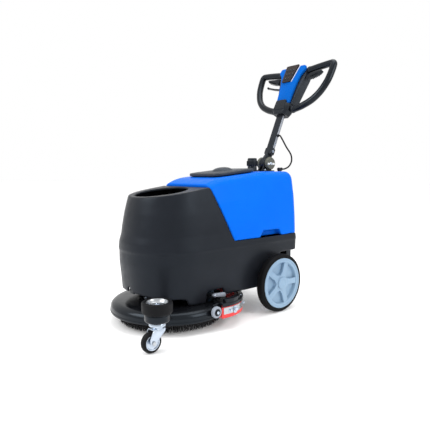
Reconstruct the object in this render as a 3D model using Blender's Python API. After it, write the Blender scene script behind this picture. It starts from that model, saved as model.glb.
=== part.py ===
"""Walk-behind floor scrubber: a single-disc scrubber dryer with a folding handle.

Units are metres, +Z is up, the machine faces -Y and its left side is +X.
Every function works in machine coordinates: X is 0 on the machine's middle plane,
Y is 0 on the brush's axis and Z is 0 on the floor. The root empty then shifts the
whole machine so that its origin is the middle of the base of its outer box.
"""

import math

import bmesh
import bpy
from mathutils import Matrix, Vector

# ---------------------------------------------------------------- driving sizes
GAP = 0.0003                      # clearance between pieces that touch
STEPS = 32                        # facets round a large turned piece
SMALL_STEPS = 12                  # facets round a small turned piece

BRUSH_R = 0.215
BRUSH_BASE_Z = 0.003
DECK_R = 0.248
DECK_LOW_Z = 0.044
DECK_TOP_Z = 0.096

WHEEL_R = 0.128
WHEEL_Y = 0.420
HUB_R = 0.103
TYRE_INNER_X = 0.2175
TYRE_OUTER_X = 0.2535
HUB_FACE_X = 0.2555
AXLE_R = 0.010

CASTER_X = 0.278
SWIVEL_Y = -0.240
CASTER_TRAIL = 0.026
CASTER_R = 0.0375
CASTER_HALF_WIDTH = 0.0125
ROLLER_R = 0.0535
ROLLER_LOW_Z = 0.1353
ROLLER_TOP_Z = 0.175

WALL = 0.006                      # moulded tank wall
PLATE_Z = 0.196                   # underside of the chassis plate
PLATE_T = 0.004
FLOOR_Z = PLATE_Z + PLATE_T + GAP
SEAM_Z = 0.330                    # where the upper tank meets the lower body
SLANT_LOW_Y = 0.190
SLANT_TOP = Vector((0.084, 0.553))
RIM_FRONT = Vector((-0.160, 0.516))
REAR_Y = 0.600
BAY_Y = 0.168                     # front wall of the battery bay
ARCH_R = 0.085                    # cut in the body round each axle end

MOUTH_Y = -0.038
MOUTH_RX = 0.118
MOUTH_RY = 0.107

LID_FRONT_Y = 0.167
LID_REAR_Y = 0.400
LID_HALF_WIDTH = 0.110
TOP_SLOPE = 0.105
TOP_FRONT_Z = 0.590
LID_LIFT = 0.0036                 # height of the lid's underside over the tank
LID_T = 0.013
TANK_TOP_Z = 0.617

FOLD_Y = 0.571
FOLD_Z = 0.655
LEAN = math.radians(23.6)         # the handle's lean at rest

SQUEEGEE_X = 0.2595
SQUEEGEE_LOW_Z = 0.047
SQUEEGEE_TOP_Z = 0.107
SQUEEGEE_ROLLER_R = 0.0225
ROLLER_PIN_END = 0.2735

POST_X = 0.050                    # squeegee guide posts
POST_Y = 0.2935
SQUEEGEE_MID_Y = 0.272
POST_R = 0.006
POST_LOW_Z = 0.058

BAR_R = 0.0155

X_MAX = CASTER_X + ROLLER_R
X_MIN = -ROLLER_PIN_END
Y_MIN = SWIVEL_Y - CASTER_TRAIL - CASTER_R
LOOP_BACK = 0.008                 # how far the loops stand behind the column's middle
CONSOLE_TOP_U = 0.520             # up the column from the fold axis
CONSOLE_BACK = 0.046
ROUNDED_OFF = 0.0011              # lost at the console's rounded rear edge
Y_MAX = (FOLD_Y + CONSOLE_TOP_U * math.sin(LEAN) + CONSOLE_BACK * math.cos(LEAN)
         - ROUNDED_OFF)
ORIGIN_SHIFT = Vector((-(X_MAX + X_MIN) / 2, -(Y_MIN + Y_MAX) / 2, 0.0))

FINISHES = {                      # colour, roughness, metallic
    "charcoal": ((0.030, 0.034, 0.042), 0.45, 0.0),
    "blue": ((0.0, 0.130, 1.0), 0.30, 0.0),
    "black": ((0.012, 0.012, 0.014), 0.40, 0.0),
    "rubber": ((0.014, 0.014, 0.015), 0.75, 0.0),
    "hub": ((0.270, 0.390, 0.520), 0.45, 0.0),
    "steel": ((0.600, 0.610, 0.630), 0.30, 1.0),
    "zinc": ((0.700, 0.720, 0.760), 0.25, 1.0),
    "red": ((0.800, 0.090, 0.090), 0.50, 0.0),
    "grey": ((0.300, 0.320, 0.350), 0.50, 0.0),
    "olive": ((0.130, 0.130, 0.100), 0.60, 0.0),
    "case": ((0.060, 0.060, 0.065), 0.55, 0.0),
}

# ---------------------------------------------------------------- scene helpers


def clear_scene():
    """Remove every object that the file starts with."""
    for item in list(bpy.data.objects):
        bpy.data.objects.remove(item, do_unlink=True)


def add_pivot(name, place, parent, lean=0.0):
    """Add an empty on a joint's axis."""
    empty = bpy.data.objects.new(name, None)
    empty.location = place
    empty.rotation_euler = (lean, 0.0, 0.0)
    empty.parent = parent
    bpy.context.scene.collection.objects.link(empty)
    return empty


def make_material(name, finish):
    """Make one Principled material for one piece."""
    colour, roughness, metallic = FINISHES[finish]
    material = bpy.data.materials.new(name)
    material.use_nodes = True
    shader = material.node_tree.nodes["Principled BSDF"]
    shader.inputs["Base Color"].default_value = (*colour, 1.0)
    shader.inputs["Roughness"].default_value = roughness
    shader.inputs["Metallic"].default_value = metallic
    return material


def add_piece(name, data, finish, pivot, local=False):
    """Link a mesh or curve as a named piece under its pivot.

    The shape is given in the coordinates of the pivot's parent, unless local is set.
    """
    if not local:
        data.transform(Matrix.Translation(-pivot.location))
    piece = bpy.data.objects.new(name, data)
    piece.parent = pivot
    bpy.context.scene.collection.objects.link(piece)
    if finish is None:
        piece.hide_render = True
        piece.display_type = "WIRE"
    else:
        data.materials.append(make_material(name, finish))
    return piece


def finish_mesh(name, shape, smooth_angle=None):
    """Close a bmesh's normals, turn it into a mesh and free it."""
    bmesh.ops.remove_doubles(shape, verts=shape.verts, dist=1e-6)
    bmesh.ops.recalc_face_normals(shape, faces=shape.faces)
    mesh = bpy.data.meshes.new(name)
    shape.to_mesh(mesh)
    shape.free()
    if smooth_angle is not None:
        mesh.shade_smooth()
        mesh.set_sharp_from_angle(angle=smooth_angle)
    return mesh


def combine(piece, tool, operation):
    """Add one Boolean modifier."""
    modifier = piece.modifiers.new(operation.lower(), "BOOLEAN")
    modifier.operation = operation
    modifier.solver = "EXACT"
    modifier.object = tool


def cut(piece, *tools):
    """Subtract each tool from a piece."""
    for tool in tools:
        combine(piece, tool, "DIFFERENCE")


def join(piece, *tools):
    """Union each tool to a piece."""
    for tool in tools:
        combine(piece, tool, "UNION")


# ---------------------------------------------------------------- shape helpers

TO_X = Matrix.Rotation(math.radians(90), 4, "Y")


def lathe(name, profile, finish, pivot, centre=(0, 0, 0), axis="Z", steps=STEPS, local=False):
    """Turn a profile of (radius, height) points about an axis.

    A profile that starts and ends on the axis is left open, and any other is closed.
    """
    shape = bmesh.new()
    verts = [shape.verts.new((radius, 0.0, height)) for radius, height in profile]
    edges = [shape.edges.new(pair) for pair in zip(verts, verts[1:])]
    if profile[0][0] > 0:
        edges.append(shape.edges.new((verts[-1], verts[0])))
    bmesh.ops.spin(shape, geom=verts + edges, cent=(0, 0, 0), axis=(0, 0, 1),
                   angle=math.tau, steps=steps, use_merge=True)
    if axis == "X":
        shape.transform(TO_X)
    shape.transform(Matrix.Translation(centre))
    mesh = finish_mesh(name, shape, math.radians(35))
    return add_piece(name, mesh, finish, pivot, local)


def tube_profile(inner, outer, low, high):
    """Profile of a plain ring."""
    return [(inner, low), (outer, low), (outer, high), (inner, high)]


def rod_profile(radius, low, high):
    """Profile of a plain rod."""
    return [(0.0, low), (radius, low), (radius, high), (0.0, high)]


def prism(name, outline, span, finish, pivot, axis="X", bevel=0.0, local=False):
    """Extrude a flat outline along an axis, over the span (low, high)."""
    low, high = span
    lift = {"X": lambda a, b, c: (c, a, b), "Y": lambda a, b, c: (a, c, b),
            "Z": lambda a, b, c: (a, b, c)}[axis]
    shape = bmesh.new()
    face = shape.faces.new([shape.verts.new(lift(a, b, low)) for a, b in outline])
    extruded = bmesh.ops.extrude_face_region(shape, geom=[face])
    moved = [item for item in extruded["geom"] if isinstance(item, bmesh.types.BMVert)]
    bmesh.ops.translate(shape, verts=moved, vec=lift(0, 0, high - low))
    bmesh.ops.recalc_face_normals(shape, faces=shape.faces)
    if bevel:
        bmesh.ops.bevel(shape, geom=shape.edges[:], offset=bevel, offset_type="OFFSET",
                        affect="EDGES", segments=2, profile=0.5, material=-1)
    mesh = finish_mesh(name, shape)
    return add_piece(name, mesh, finish, pivot, local)


def block(name, low, high, finish, pivot, bevel=0.0, local=False):
    """Make a box between two corners."""
    outline = [(low[0], low[1]), (high[0], low[1]), (high[0], high[1]), (low[0], high[1])]
    return prism(name, outline, (low[2], high[2]), finish, pivot, "Z", bevel, local)


def loft(name, rings, finish, pivot, local=False):
    """Skin a stack of closed rings that all have the same number of points."""
    shape = bmesh.new()
    loops = [[shape.verts.new(point) for point in ring] for ring in rings]
    count = len(loops[0])
    for lower, upper in zip(loops, loops[1:]):
        for i in range(count):
            j = (i + 1) % count
            shape.faces.new((lower[i], lower[j], upper[j], upper[i]))
    shape.faces.new(loops[0])
    shape.faces.new(loops[-1])
    mesh = finish_mesh(name, shape, math.radians(35))
    return add_piece(name, mesh, finish, pivot, local)


def smooth_curve(points, step):
    """Points a fixed step apart along a smooth curve through the given points."""
    knots = [Vector(point) for point in points]
    knots = [2 * knots[0] - knots[1]] + knots + [2 * knots[-1] - knots[-2]]
    fine = []
    for a, b, c, d in zip(knots, knots[1:], knots[2:], knots[3:]):
        for k in range(24):
            t = k / 24
            fine.append(0.5 * (2 * b + (c - a) * t + (2 * a - 5 * b + 4 * c - d) * t ** 2
                               + (3 * b - a - 3 * c + d) * t ** 3))
    fine.append(knots[-2])
    lengths = [0.0]
    for a, b in zip(fine, fine[1:]):
        lengths.append(lengths[-1] + (b - a).length)
    count = max(2, round(lengths[-1] / step))
    result = []
    i = 0
    for k in range(count + 1):
        target = lengths[-1] * k / count
        while i < len(fine) - 2 and lengths[i + 1] < target:
            i += 1
        share = (target - lengths[i]) / (lengths[i + 1] - lengths[i])
        result.append(fine[i].lerp(fine[i + 1], share))
    return result


def tube(name, points, radius, finish, pivot, local=False, resolution=2):
    """Make a round tube along points, as a bevelled curve with filled caps."""
    curve = bpy.data.curves.new(name, "CURVE")
    curve.dimensions = "3D"
    curve.bevel_depth = radius
    curve.bevel_resolution = resolution
    curve.use_fill_caps = True
    spline = curve.splines.new("POLY")
    spline.points.add(len(points) - 1)
    for item, point in zip(spline.points, points):
        item.co = (*point, 1.0)
    return add_piece(name, curve, finish, pivot, local)


def arc(centre, radius, start, stop, count):
    """Points on an arc, angles in degrees."""
    return [(centre[0] + radius * math.cos(math.radians(start + (stop - start) * k / count)),
             centre[1] + radius * math.sin(math.radians(start + (stop - start) * k / count)))
            for k in range(count + 1)]


def rounded_rectangle(half_x, low_y, high_y, radius, count=4):
    """Outline of a rectangle with round corners."""
    return (arc((half_x - radius, high_y - radius), radius, 0, 90, count)
            + arc((-half_x + radius, high_y - radius), radius, 90, 180, count)
            + arc((-half_x + radius, low_y + radius), radius, 180, 270, count)
            + arc((half_x - radius, low_y + radius), radius, 270, 360, count))


# ---------------------------------------------------------------- wheels and frame


def build_wheel(side, root):
    """Build one rear wheel: tyre, hub and centre cap."""
    name = "left" if side > 0 else "right"
    pivot = add_pivot(f"axis_wheel_{name}", (side * TYRE_INNER_X, WHEEL_Y, WHEEL_R), root)
    centre = (0, WHEEL_Y, WHEEL_R)

    def turn(label, profile, finish, steps=STEPS):
        points = [(radius, side * x) for radius, x in profile]
        return lathe(f"{label}_{name}", points, finish, pivot, centre, "X", steps)

    inner, outer = TYRE_INNER_X, TYRE_OUTER_X
    turn("rear_tyre", [(HUB_R + GAP, inner), (0.120, inner), (0.126, inner + 0.004),
                       (WHEEL_R, inner + 0.011), (WHEEL_R, outer - 0.011),
                       (0.126, outer - 0.004), (0.120, outer), (HUB_R + GAP, outer)], "rubber")
    turn("rear_hub", [(AXLE_R + GAP, 0.208), (0.030, 0.208), (0.030, 0.230), (0.086, 0.230),
                      (0.086, 0.2185), (HUB_R, 0.2185), (HUB_R, HUB_FACE_X), (0.093, HUB_FACE_X),
                      (0.088, 0.250), (0.086, 0.238), (0.032, 0.238), (0.032, 0.252),
                      (AXLE_R + GAP, 0.252)], "hub")
    turn("hub_cap", [(0.0, 0.2523), (0.027, 0.2523), (0.027, 0.2555), (0.022, 0.2580),
                     (0.0, 0.2585)], "hub", SMALL_STEPS)


def build_frame(root):
    """Build the welded chassis frame, with its deck mounts and squeegee posts, and the axle."""
    top = PLATE_Z + PLATE_T
    frame = block("chassis_frame", (-0.150, -0.105, PLATE_Z), (0.150, 0.580, top), "black", root)
    tools = []
    for side in (-1, 1):
        low, high = sorted((side * 0.130, side * 0.136))
        tools.append(block(f"axle_plate_{side}", (low, 0.392, 0.106), (high, 0.448, PLATE_Z + 0.002),
                           None, root))
        low, high = sorted((side * 0.112, side * 0.155))
        tools.append(block(f"rear_post_{side}", (low, 0.556, top - 0.002), (high, 0.586, 0.2515),
                           None, root))
    rods = [(side * POST_X, POST_Y, POST_R, POST_LOW_Z) for side in (-1, 1)]
    rods += [(x, y, 0.009, DECK_TOP_Z + GAP) for x in (-0.088, 0.088) for y in (-0.062, 0.062)]
    for i, (x, y, radius, low) in enumerate(rods):
        tools.append(lathe(f"frame_post_{i}", rod_profile(radius, low, top - 0.001), None, root,
                           (x, y, 0), "Z", SMALL_STEPS))
    join(frame, *tools)
    bore = lathe("axle_bore", rod_profile(AXLE_R + GAP, -0.2, 0.2), None, root,
                 (0, WHEEL_Y, WHEEL_R), "X", SMALL_STEPS)
    cut(frame, bore)
    lathe("rear_axle", rod_profile(AXLE_R, -0.250, 0.250), "steel", root,
          (0, WHEEL_Y, WHEEL_R), "X", SMALL_STEPS)


# ---------------------------------------------------------------- lower body

BODY_STATIONS = [                 # height, half width, front reach
    (0.085, 0.190, 0.191), (0.186, 0.196, 0.199), (0.254, 0.200, 0.206), (0.305, 0.203, 0.208),
    (0.338, 0.1965, 0.2055), (0.366, 0.193, 0.197), (0.400, 0.190, 0.192), (0.451, 0.184, 0.182),
    (0.500, 0.176, 0.169), (0.560, 0.165, 0.150)]
SIDE_BOW = 0.010
CORNER_R = 0.034


def plan_ring(height, half_width, front, inset=0.0):
    """One plan outline of the body: a round nose, bowed sides and rounded rear corners."""
    power = 2 / 2.2
    centre_y = 0.02
    points = []
    for k in range(21):
        angle = math.pi * k / 20
        cosine, sine = math.cos(angle), math.sin(angle)
        x = (half_width - inset) * math.copysign(abs(cosine) ** power, cosine)
        y = centre_y - (front - inset + centre_y) * abs(sine) ** power
        points.append((x, y))
    rear = REAR_Y - inset
    tail = half_width - inset - SIDE_BOW
    side = [(half_width - inset - SIDE_BOW * ((y - 0.10) / 0.46) ** 2, y)
            for y in (0.14, 0.26, 0.38, 0.48)]
    corner = arc((tail - CORNER_R, rear - CORNER_R), CORNER_R, 0, 90, 4)
    left_to_rear = side + corner
    points += [(-x, y) for x, y in left_to_rear]
    points += reversed(left_to_rear)
    return [(x, y, height) for x, y in points]


def slant_line(offset=0.0):
    """Ends of the slanted joint line in (y, z), moved rearwards by an offset."""
    low, top = Vector((SLANT_LOW_Y, SEAM_Z)), SLANT_TOP
    along = (top - low).normalized()
    shift = Vector((along.y, -along.x)) * offset
    return low + shift, top + shift


def rim_height(y):
    """Height of the sloping rim round the filling mouth."""
    slope = (SLANT_TOP.y - RIM_FRONT.y) / (SLANT_TOP.x - RIM_FRONT.x)
    return RIM_FRONT.y + slope * (y - RIM_FRONT.x)


def build_solution_tank(root):
    """Build the black lower body: clean-water tank in front, battery bay behind, open skirt."""
    tank = loft("solution_tank", [plan_ring(*station) for station in BODY_STATIONS],
                "charcoal", root)
    above = [(SLANT_LOW_Y, SEAM_Z), tuple(SLANT_TOP), (-0.30, rim_height(-0.30)), (-0.30, 0.70),
             (0.70, 0.70), (0.70, SEAM_Z)]
    arch = [(y, z) for y, z in arc((WHEEL_Y, WHEEL_R), ARCH_R, 191.5, 62.0, 12)]
    below = ([(-0.30, 0.0), (-0.30, 0.150), (-0.200, 0.144), (-0.160, 0.134), (-0.106, 0.127),
              (-0.052, 0.122), (-0.038, 0.0985), (0.041, 0.0965), (0.049, 0.142), (0.128, 0.142),
              (0.138, 0.111)] + arch + [(0.473, 0.252), (0.70, 0.252), (0.70, 0.0)])
    cut(tank, prism("body_top_cut", above, (-0.3, 0.3), None, root),
        prism("body_base_cut", below, (-0.3, 0.3), None, root))

    heights = [0.05] + [station[0] for station in BODY_STATIONS[1:-1]] + [0.58]
    widths = {station[0]: station[1:] for station in BODY_STATIONS}

    def inner(name, low, high, inset):
        """Space inside the moulding between two heights."""
        rings = []
        for height in [low] + [h for h in heights if low < h < high] + [high]:
            below_h = max([h for h in widths if h <= height], default=min(widths))
            above_h = min([h for h in widths if h >= height], default=max(widths))
            share = 0.0 if above_h == below_h else (height - below_h) / (above_h - below_h)
            half, front = (widths[below_h][i] * (1 - share) + widths[above_h][i] * share
                           for i in (0, 1))
            rings.append(plan_ring(height, half, front, inset))
        return loft(name, rings, None, root)

    skirt = inner("skirt_space", 0.05, FLOOR_Z, WALL)
    combine(skirt, block("skirt_limit", (-0.3, -0.3, 0.0), (0.3, 0.480, 0.3), None, root),
            "INTERSECT")
    bay = inner("bay_space", FLOOR_Z - 0.01, 0.40, WALL + 0.0015)
    bay_outline = [(BAY_Y, FLOOR_Z - 0.01), (0.455, FLOOR_Z - 0.01), (0.455, 0.258), (0.70, 0.258),
                   (0.70, 0.42), (BAY_Y, 0.42)]
    combine(bay, prism("bay_limit", bay_outline, (-0.3, 0.3), None, root), "INTERSECT")
    water = inner("water_space", FLOOR_Z + WALL, 0.56, WALL + 0.0008)
    low, top = slant_line(-WALL)
    partition_y = BAY_Y - 0.008
    share = (low.x - partition_y) / (low.x - top.x)
    water_outline = [(-0.3, FLOOR_Z + WALL), (partition_y, FLOOR_Z + WALL),
                     (partition_y, low.y + share * (top.y - low.y)), (top.x, top.y - 0.003),
                     (-0.3, rim_height(-0.3) - WALL)]
    combine(water, prism("water_limit", water_outline, (-0.3, 0.3), None, root), "INTERSECT")
    mouth = loft("mouth_cut", [[(MOUTH_RX * math.cos(math.tau * k / 32),
                                 MOUTH_Y + MOUTH_RY * math.sin(math.tau * k / 32), z)
                                for k in range(32)] for z in (0.45, 0.62)], None, root)
    cable_notch = prism("notch_cut", arc((0.005, 0.150), 0.012, 0, 360, 12)[:-1],
                        (-0.25, -0.15), None, root, "Y")
    cut(tank, skirt, bay, water, mouth, cable_notch)


def build_bay_contents(root):
    """Build the batteries and the vacuum motor that stand in the body."""
    for side, name in ((1, "left"), (-1, "right")):
        low, high = sorted((side * 0.004, side * 0.146))
        block(f"battery_{name}", (low, 0.184, FLOOR_Z), (high, 0.384, FLOOR_Z + 0.115), "case",
              root, bevel=0.004)
    lathe("vacuum_motor", [(0.0, 0.2585), (0.044, 0.2585), (0.046, 0.262), (0.046, 0.296),
                           (0.030, 0.300), (0.030, 0.322), (0.0, 0.322)], "black", root,
          (0, 0.530, 0), "Z", 24)


# ---------------------------------------------------------------- upper tank

TANK_STATIONS = [0.040, 0.084, 0.125, 0.167, 0.240, 0.320, 0.400, 0.480, 0.540, 0.566, 0.582,
                 0.593, 0.5985, REAR_Y]


def tank_top(y):
    """Height of the upper tank's top on the middle plane."""
    if y < LID_FRONT_Y:
        ahead = LID_FRONT_Y - y
        return TOP_FRONT_Z - TOP_SLOPE * ahead - 2.6 * ahead ** 2
    rise = TOP_FRONT_Z + TOP_SLOPE * (min(y, LID_REAR_Y) - LID_FRONT_Y)
    return min(TANK_TOP_Z, rise + 0.06 * max(0.0, y - LID_REAR_Y))


def tank_section(y, inset=0.0, floor=SEAM_Z + GAP):
    """One cross section of the upper tank at a station along Y."""
    reach = max(0.0, y - (REAR_Y - CORNER_R))
    round_in = CORNER_R - math.sqrt(max(0.0, CORNER_R ** 2 - reach ** 2))
    base = 0.1975 - SIDE_BOW * max(0.0, (y - 0.10) / 0.46) ** 2 - round_in - inset
    top = tank_top(y) - round_in * 0.8 - inset
    shoulder = 0.168 - 0.006 * max(0.0, (y - 0.10) / 0.46) - round_in - inset
    radius = 0.040
    half = [(base, floor), (base * 0.72 + shoulder * 0.28 + 0.003, floor + 0.30 * (top - floor)),
            (base * 0.38 + shoulder * 0.62 + 0.003, floor + 0.62 * (top - floor))]
    centre = (shoulder - radius, top - radius)
    half += arc(centre, radius, 8, 90, 6)
    half.append((0.060, top))
    return ([(x, y, z) for x, z in half] + [(-x, y, z) for x, z in reversed(half)])


def build_recovery_tank(pivot):
    """Build the blue dirty-water tank with its opening and hand holds."""
    tank = loft("recovery_tank", [tank_section(y) for y in TANK_STATIONS], "blue", pivot)
    low, top = slant_line(GAP)
    ahead = [(-0.1, 0.2), (low.x + 0.02, 0.2), (low.x + 0.02, SEAM_Z - 0.01), (low.x, low.y),
             (top.x, top.y), (top.x - 0.02, 0.70), (-0.1, 0.70)]
    cut(tank, prism("tank_nose_cut", ahead, (-0.3, 0.3), None, pivot))
    inside = loft("tank_space", [tank_section(y, WALL, 0.372)
                                 for y in [s for s in TANK_STATIONS if s < 0.57] + [0.594]],
                  None, pivot)
    low, top = slant_line(WALL)
    keep = [(low.x - 0.02, 0.372), (top.x, top.y), (top.x - 0.02, 0.70), (0.70, 0.70), (0.70, 0.372)]
    combine(inside, prism("tank_space_limit", keep, (-0.3, 0.3), None, pivot), "INTERSECT")
    pocket = block("tank_pocket", (-0.148, 0.205, 0.30), (0.148, 0.556, 0.366), None, pivot)
    opening = prism("tank_opening", rounded_rectangle(0.086, 0.192, 0.376, 0.025), (0.55, 0.66),
                    None, pivot, "Z")
    cut(tank, inside, pocket, opening)
    for side in (-1, 1):
        outline = [(0.336, 0.31), (0.341, 0.329), (0.361, 0.358), (0.466, 0.358), (0.482, 0.329),
                   (0.487, 0.31)]
        span = sorted((side * 0.164, side * 0.25))
        cut(tank, prism(f"hand_hold_{side}", outline, span, None, pivot))


def build_lid(tank_pivot):
    """Build the hinged lid with its dome, seal, float cage and float ball."""
    hinge_z = TOP_FRONT_Z + TOP_SLOPE * (LID_REAR_Y - LID_FRONT_Y) + LID_LIFT
    shift = tank_pivot.location
    pivot = add_pivot("axis_lid", Vector((0, LID_REAR_Y, hinge_z)) - shift, tank_pivot)
    world = Vector((0, LID_REAR_Y, hinge_z))

    def place(piece):
        """Move a piece built in machine coordinates onto the lid's pivot."""
        piece.data.transform(Matrix.Translation(-world))

    low = TOP_FRONT_Z + LID_LIFT
    lid = prism("tank_lid", rounded_rectangle(LID_HALF_WIDTH, LID_FRONT_Y, LID_REAR_Y, 0.028),
                (low, low + LID_T), "charcoal", pivot, "Z", 0.0, True)
    seal = prism("lid_seal", rounded_rectangle(0.100, 0.178, 0.389, 0.028),
                 (TOP_FRONT_Z + GAP, low - GAP), "rubber", pivot, "Z", 0.0, True)
    seal_hole = prism("seal_cut", rounded_rectangle(0.091, 0.187, 0.380, 0.024),
                      (TOP_FRONT_Z - 0.02, low + 0.02), None, pivot, "Z", 0.0, True)
    for piece in (lid, seal, seal_hole):
        for vertex in piece.data.vertices:
            vertex.co.z += TOP_SLOPE * (vertex.co.y - LID_FRONT_Y)
        place(piece)
    cut(seal, seal_hole)
    dome_y = 0.288
    dome_z = low + LID_T + TOP_SLOPE * (dome_y - LID_FRONT_Y) + GAP
    dome = lathe("lid_dome", [(0.0, 0.0), (0.049, 0.0), (0.045, 0.005), (0.034, 0.0105),
                              (0.018, 0.0145), (0.0, 0.0155)], "charcoal", pivot, (0, 0, 0), "Z", 32,
                 True)
    dome.data.transform(Matrix.Rotation(math.atan(TOP_SLOPE), 4, "X"))
    dome.data.transform(Matrix.Translation(Vector((0, dome_y, dome_z)) - world))
    cage_top = low + TOP_SLOPE * (dome_y - LID_FRONT_Y) - 0.004
    cage = lathe("float_cage", [(0.0, 0.0), (0.030, 0.0), (0.030, -0.068), (0.012, -0.068),
                                (0.012, -0.065), (0.027, -0.065), (0.027, -0.003), (0.0, -0.003)], "black", pivot,
                 Vector((0, dome_y, cage_top)) - world, "Z", 24, True)
    slots = block("cage_slots", (-0.008, -0.05, -0.058), (0.008, 0.05, -0.010), None, pivot, 0.0,
                  True)
    slots.data.transform(Matrix.Translation(Vector((0, dome_y, cage_top)) - world))
    cut(cage, slots)
    ball_z = cage_top - 0.0465
    ball_pivot = add_pivot("axis_float", Vector((0, dome_y, ball_z)) - world, pivot)
    profile = [(0.018 * math.cos(math.radians(a)), 0.018 * math.sin(math.radians(a)))
               for a in range(-90, 91, 20)]
    profile[0] = (0.0, -0.018)
    profile[-1] = (0.0, 0.018)
    lathe("float_ball", profile, "red", ball_pivot, (0, 0, 0), "Z", 16, True)


def build_port(tank_pivot):
    """Build the screw port on the tank's top: collar and cap."""
    shift = tank_pivot.location
    place = Vector((0, 0.477, TANK_TOP_Z)) - shift
    lathe("port_collar", [(0.014, GAP), (0.031, GAP), (0.031, 0.005), (0.0215, 0.007),
                          (0.0215, 0.024), (0.014, 0.024)], "black", tank_pivot, place, "Z", 24,
          True)
    cap_pivot = add_pivot("axis_port_cap", place, tank_pivot)
    lathe("port_cap", [(0.0, 0.0245), (0.0235, 0.0245), (0.0265, 0.027), (0.0265, 0.050),
                       (0.0225, 0.052), (0.0225, 0.060), (0.0205, 0.063), (0.0, 0.063)], "black",
          cap_pivot, (0, 0, 0), "Z", 24, True)


# ---------------------------------------------------------------- brush deck


def build_deck(root):
    """Build the deck cover, its motor, mounts and the turning brush."""
    lathe("brush_deck", [(0.020, DECK_TOP_Z), (0.200, 0.0945), (0.226, 0.0905), (0.241, 0.0815),
                         (DECK_R, 0.069), (DECK_R, DECK_LOW_Z), (0.242, DECK_LOW_Z),
                         (0.242, 0.067), (0.236, 0.0765), (0.222, 0.0845), (0.198, 0.0885),
                         (0.020, 0.090)], "black", root, steps=40)
    lathe("brush_motor", [(0.0, DECK_TOP_Z + GAP), (0.060, DECK_TOP_Z + GAP), (0.060, 0.106),
                          (0.054, 0.110), (0.054, 0.182), (0.048, 0.188), (0.0, 0.188)], "black",
          root, steps=24)
    spin = add_pivot("axis_brush", (0, 0, BRUSH_BASE_Z), root)
    lathe("drive_plate", [(0.0, 0.0503), (0.080, 0.0503), (0.080, 0.060), (0.014, 0.064),
                          (0.0125, DECK_TOP_Z - 0.001), (0.0, DECK_TOP_Z - 0.001)], "steel", spin,
          steps=24)
    lathe("brush_block", tube_profile(0.030, BRUSH_R - 0.006, 0.030, 0.050), "case", spin, steps=40)
    lathe("bristle_ring", [(0.075, BRUSH_BASE_Z), (BRUSH_R, BRUSH_BASE_Z),
                           (BRUSH_R - 0.007, 0.0297), (0.080, 0.0297)], "rubber", spin, steps=40)


# ---------------------------------------------------------------- caster and bumper


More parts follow.
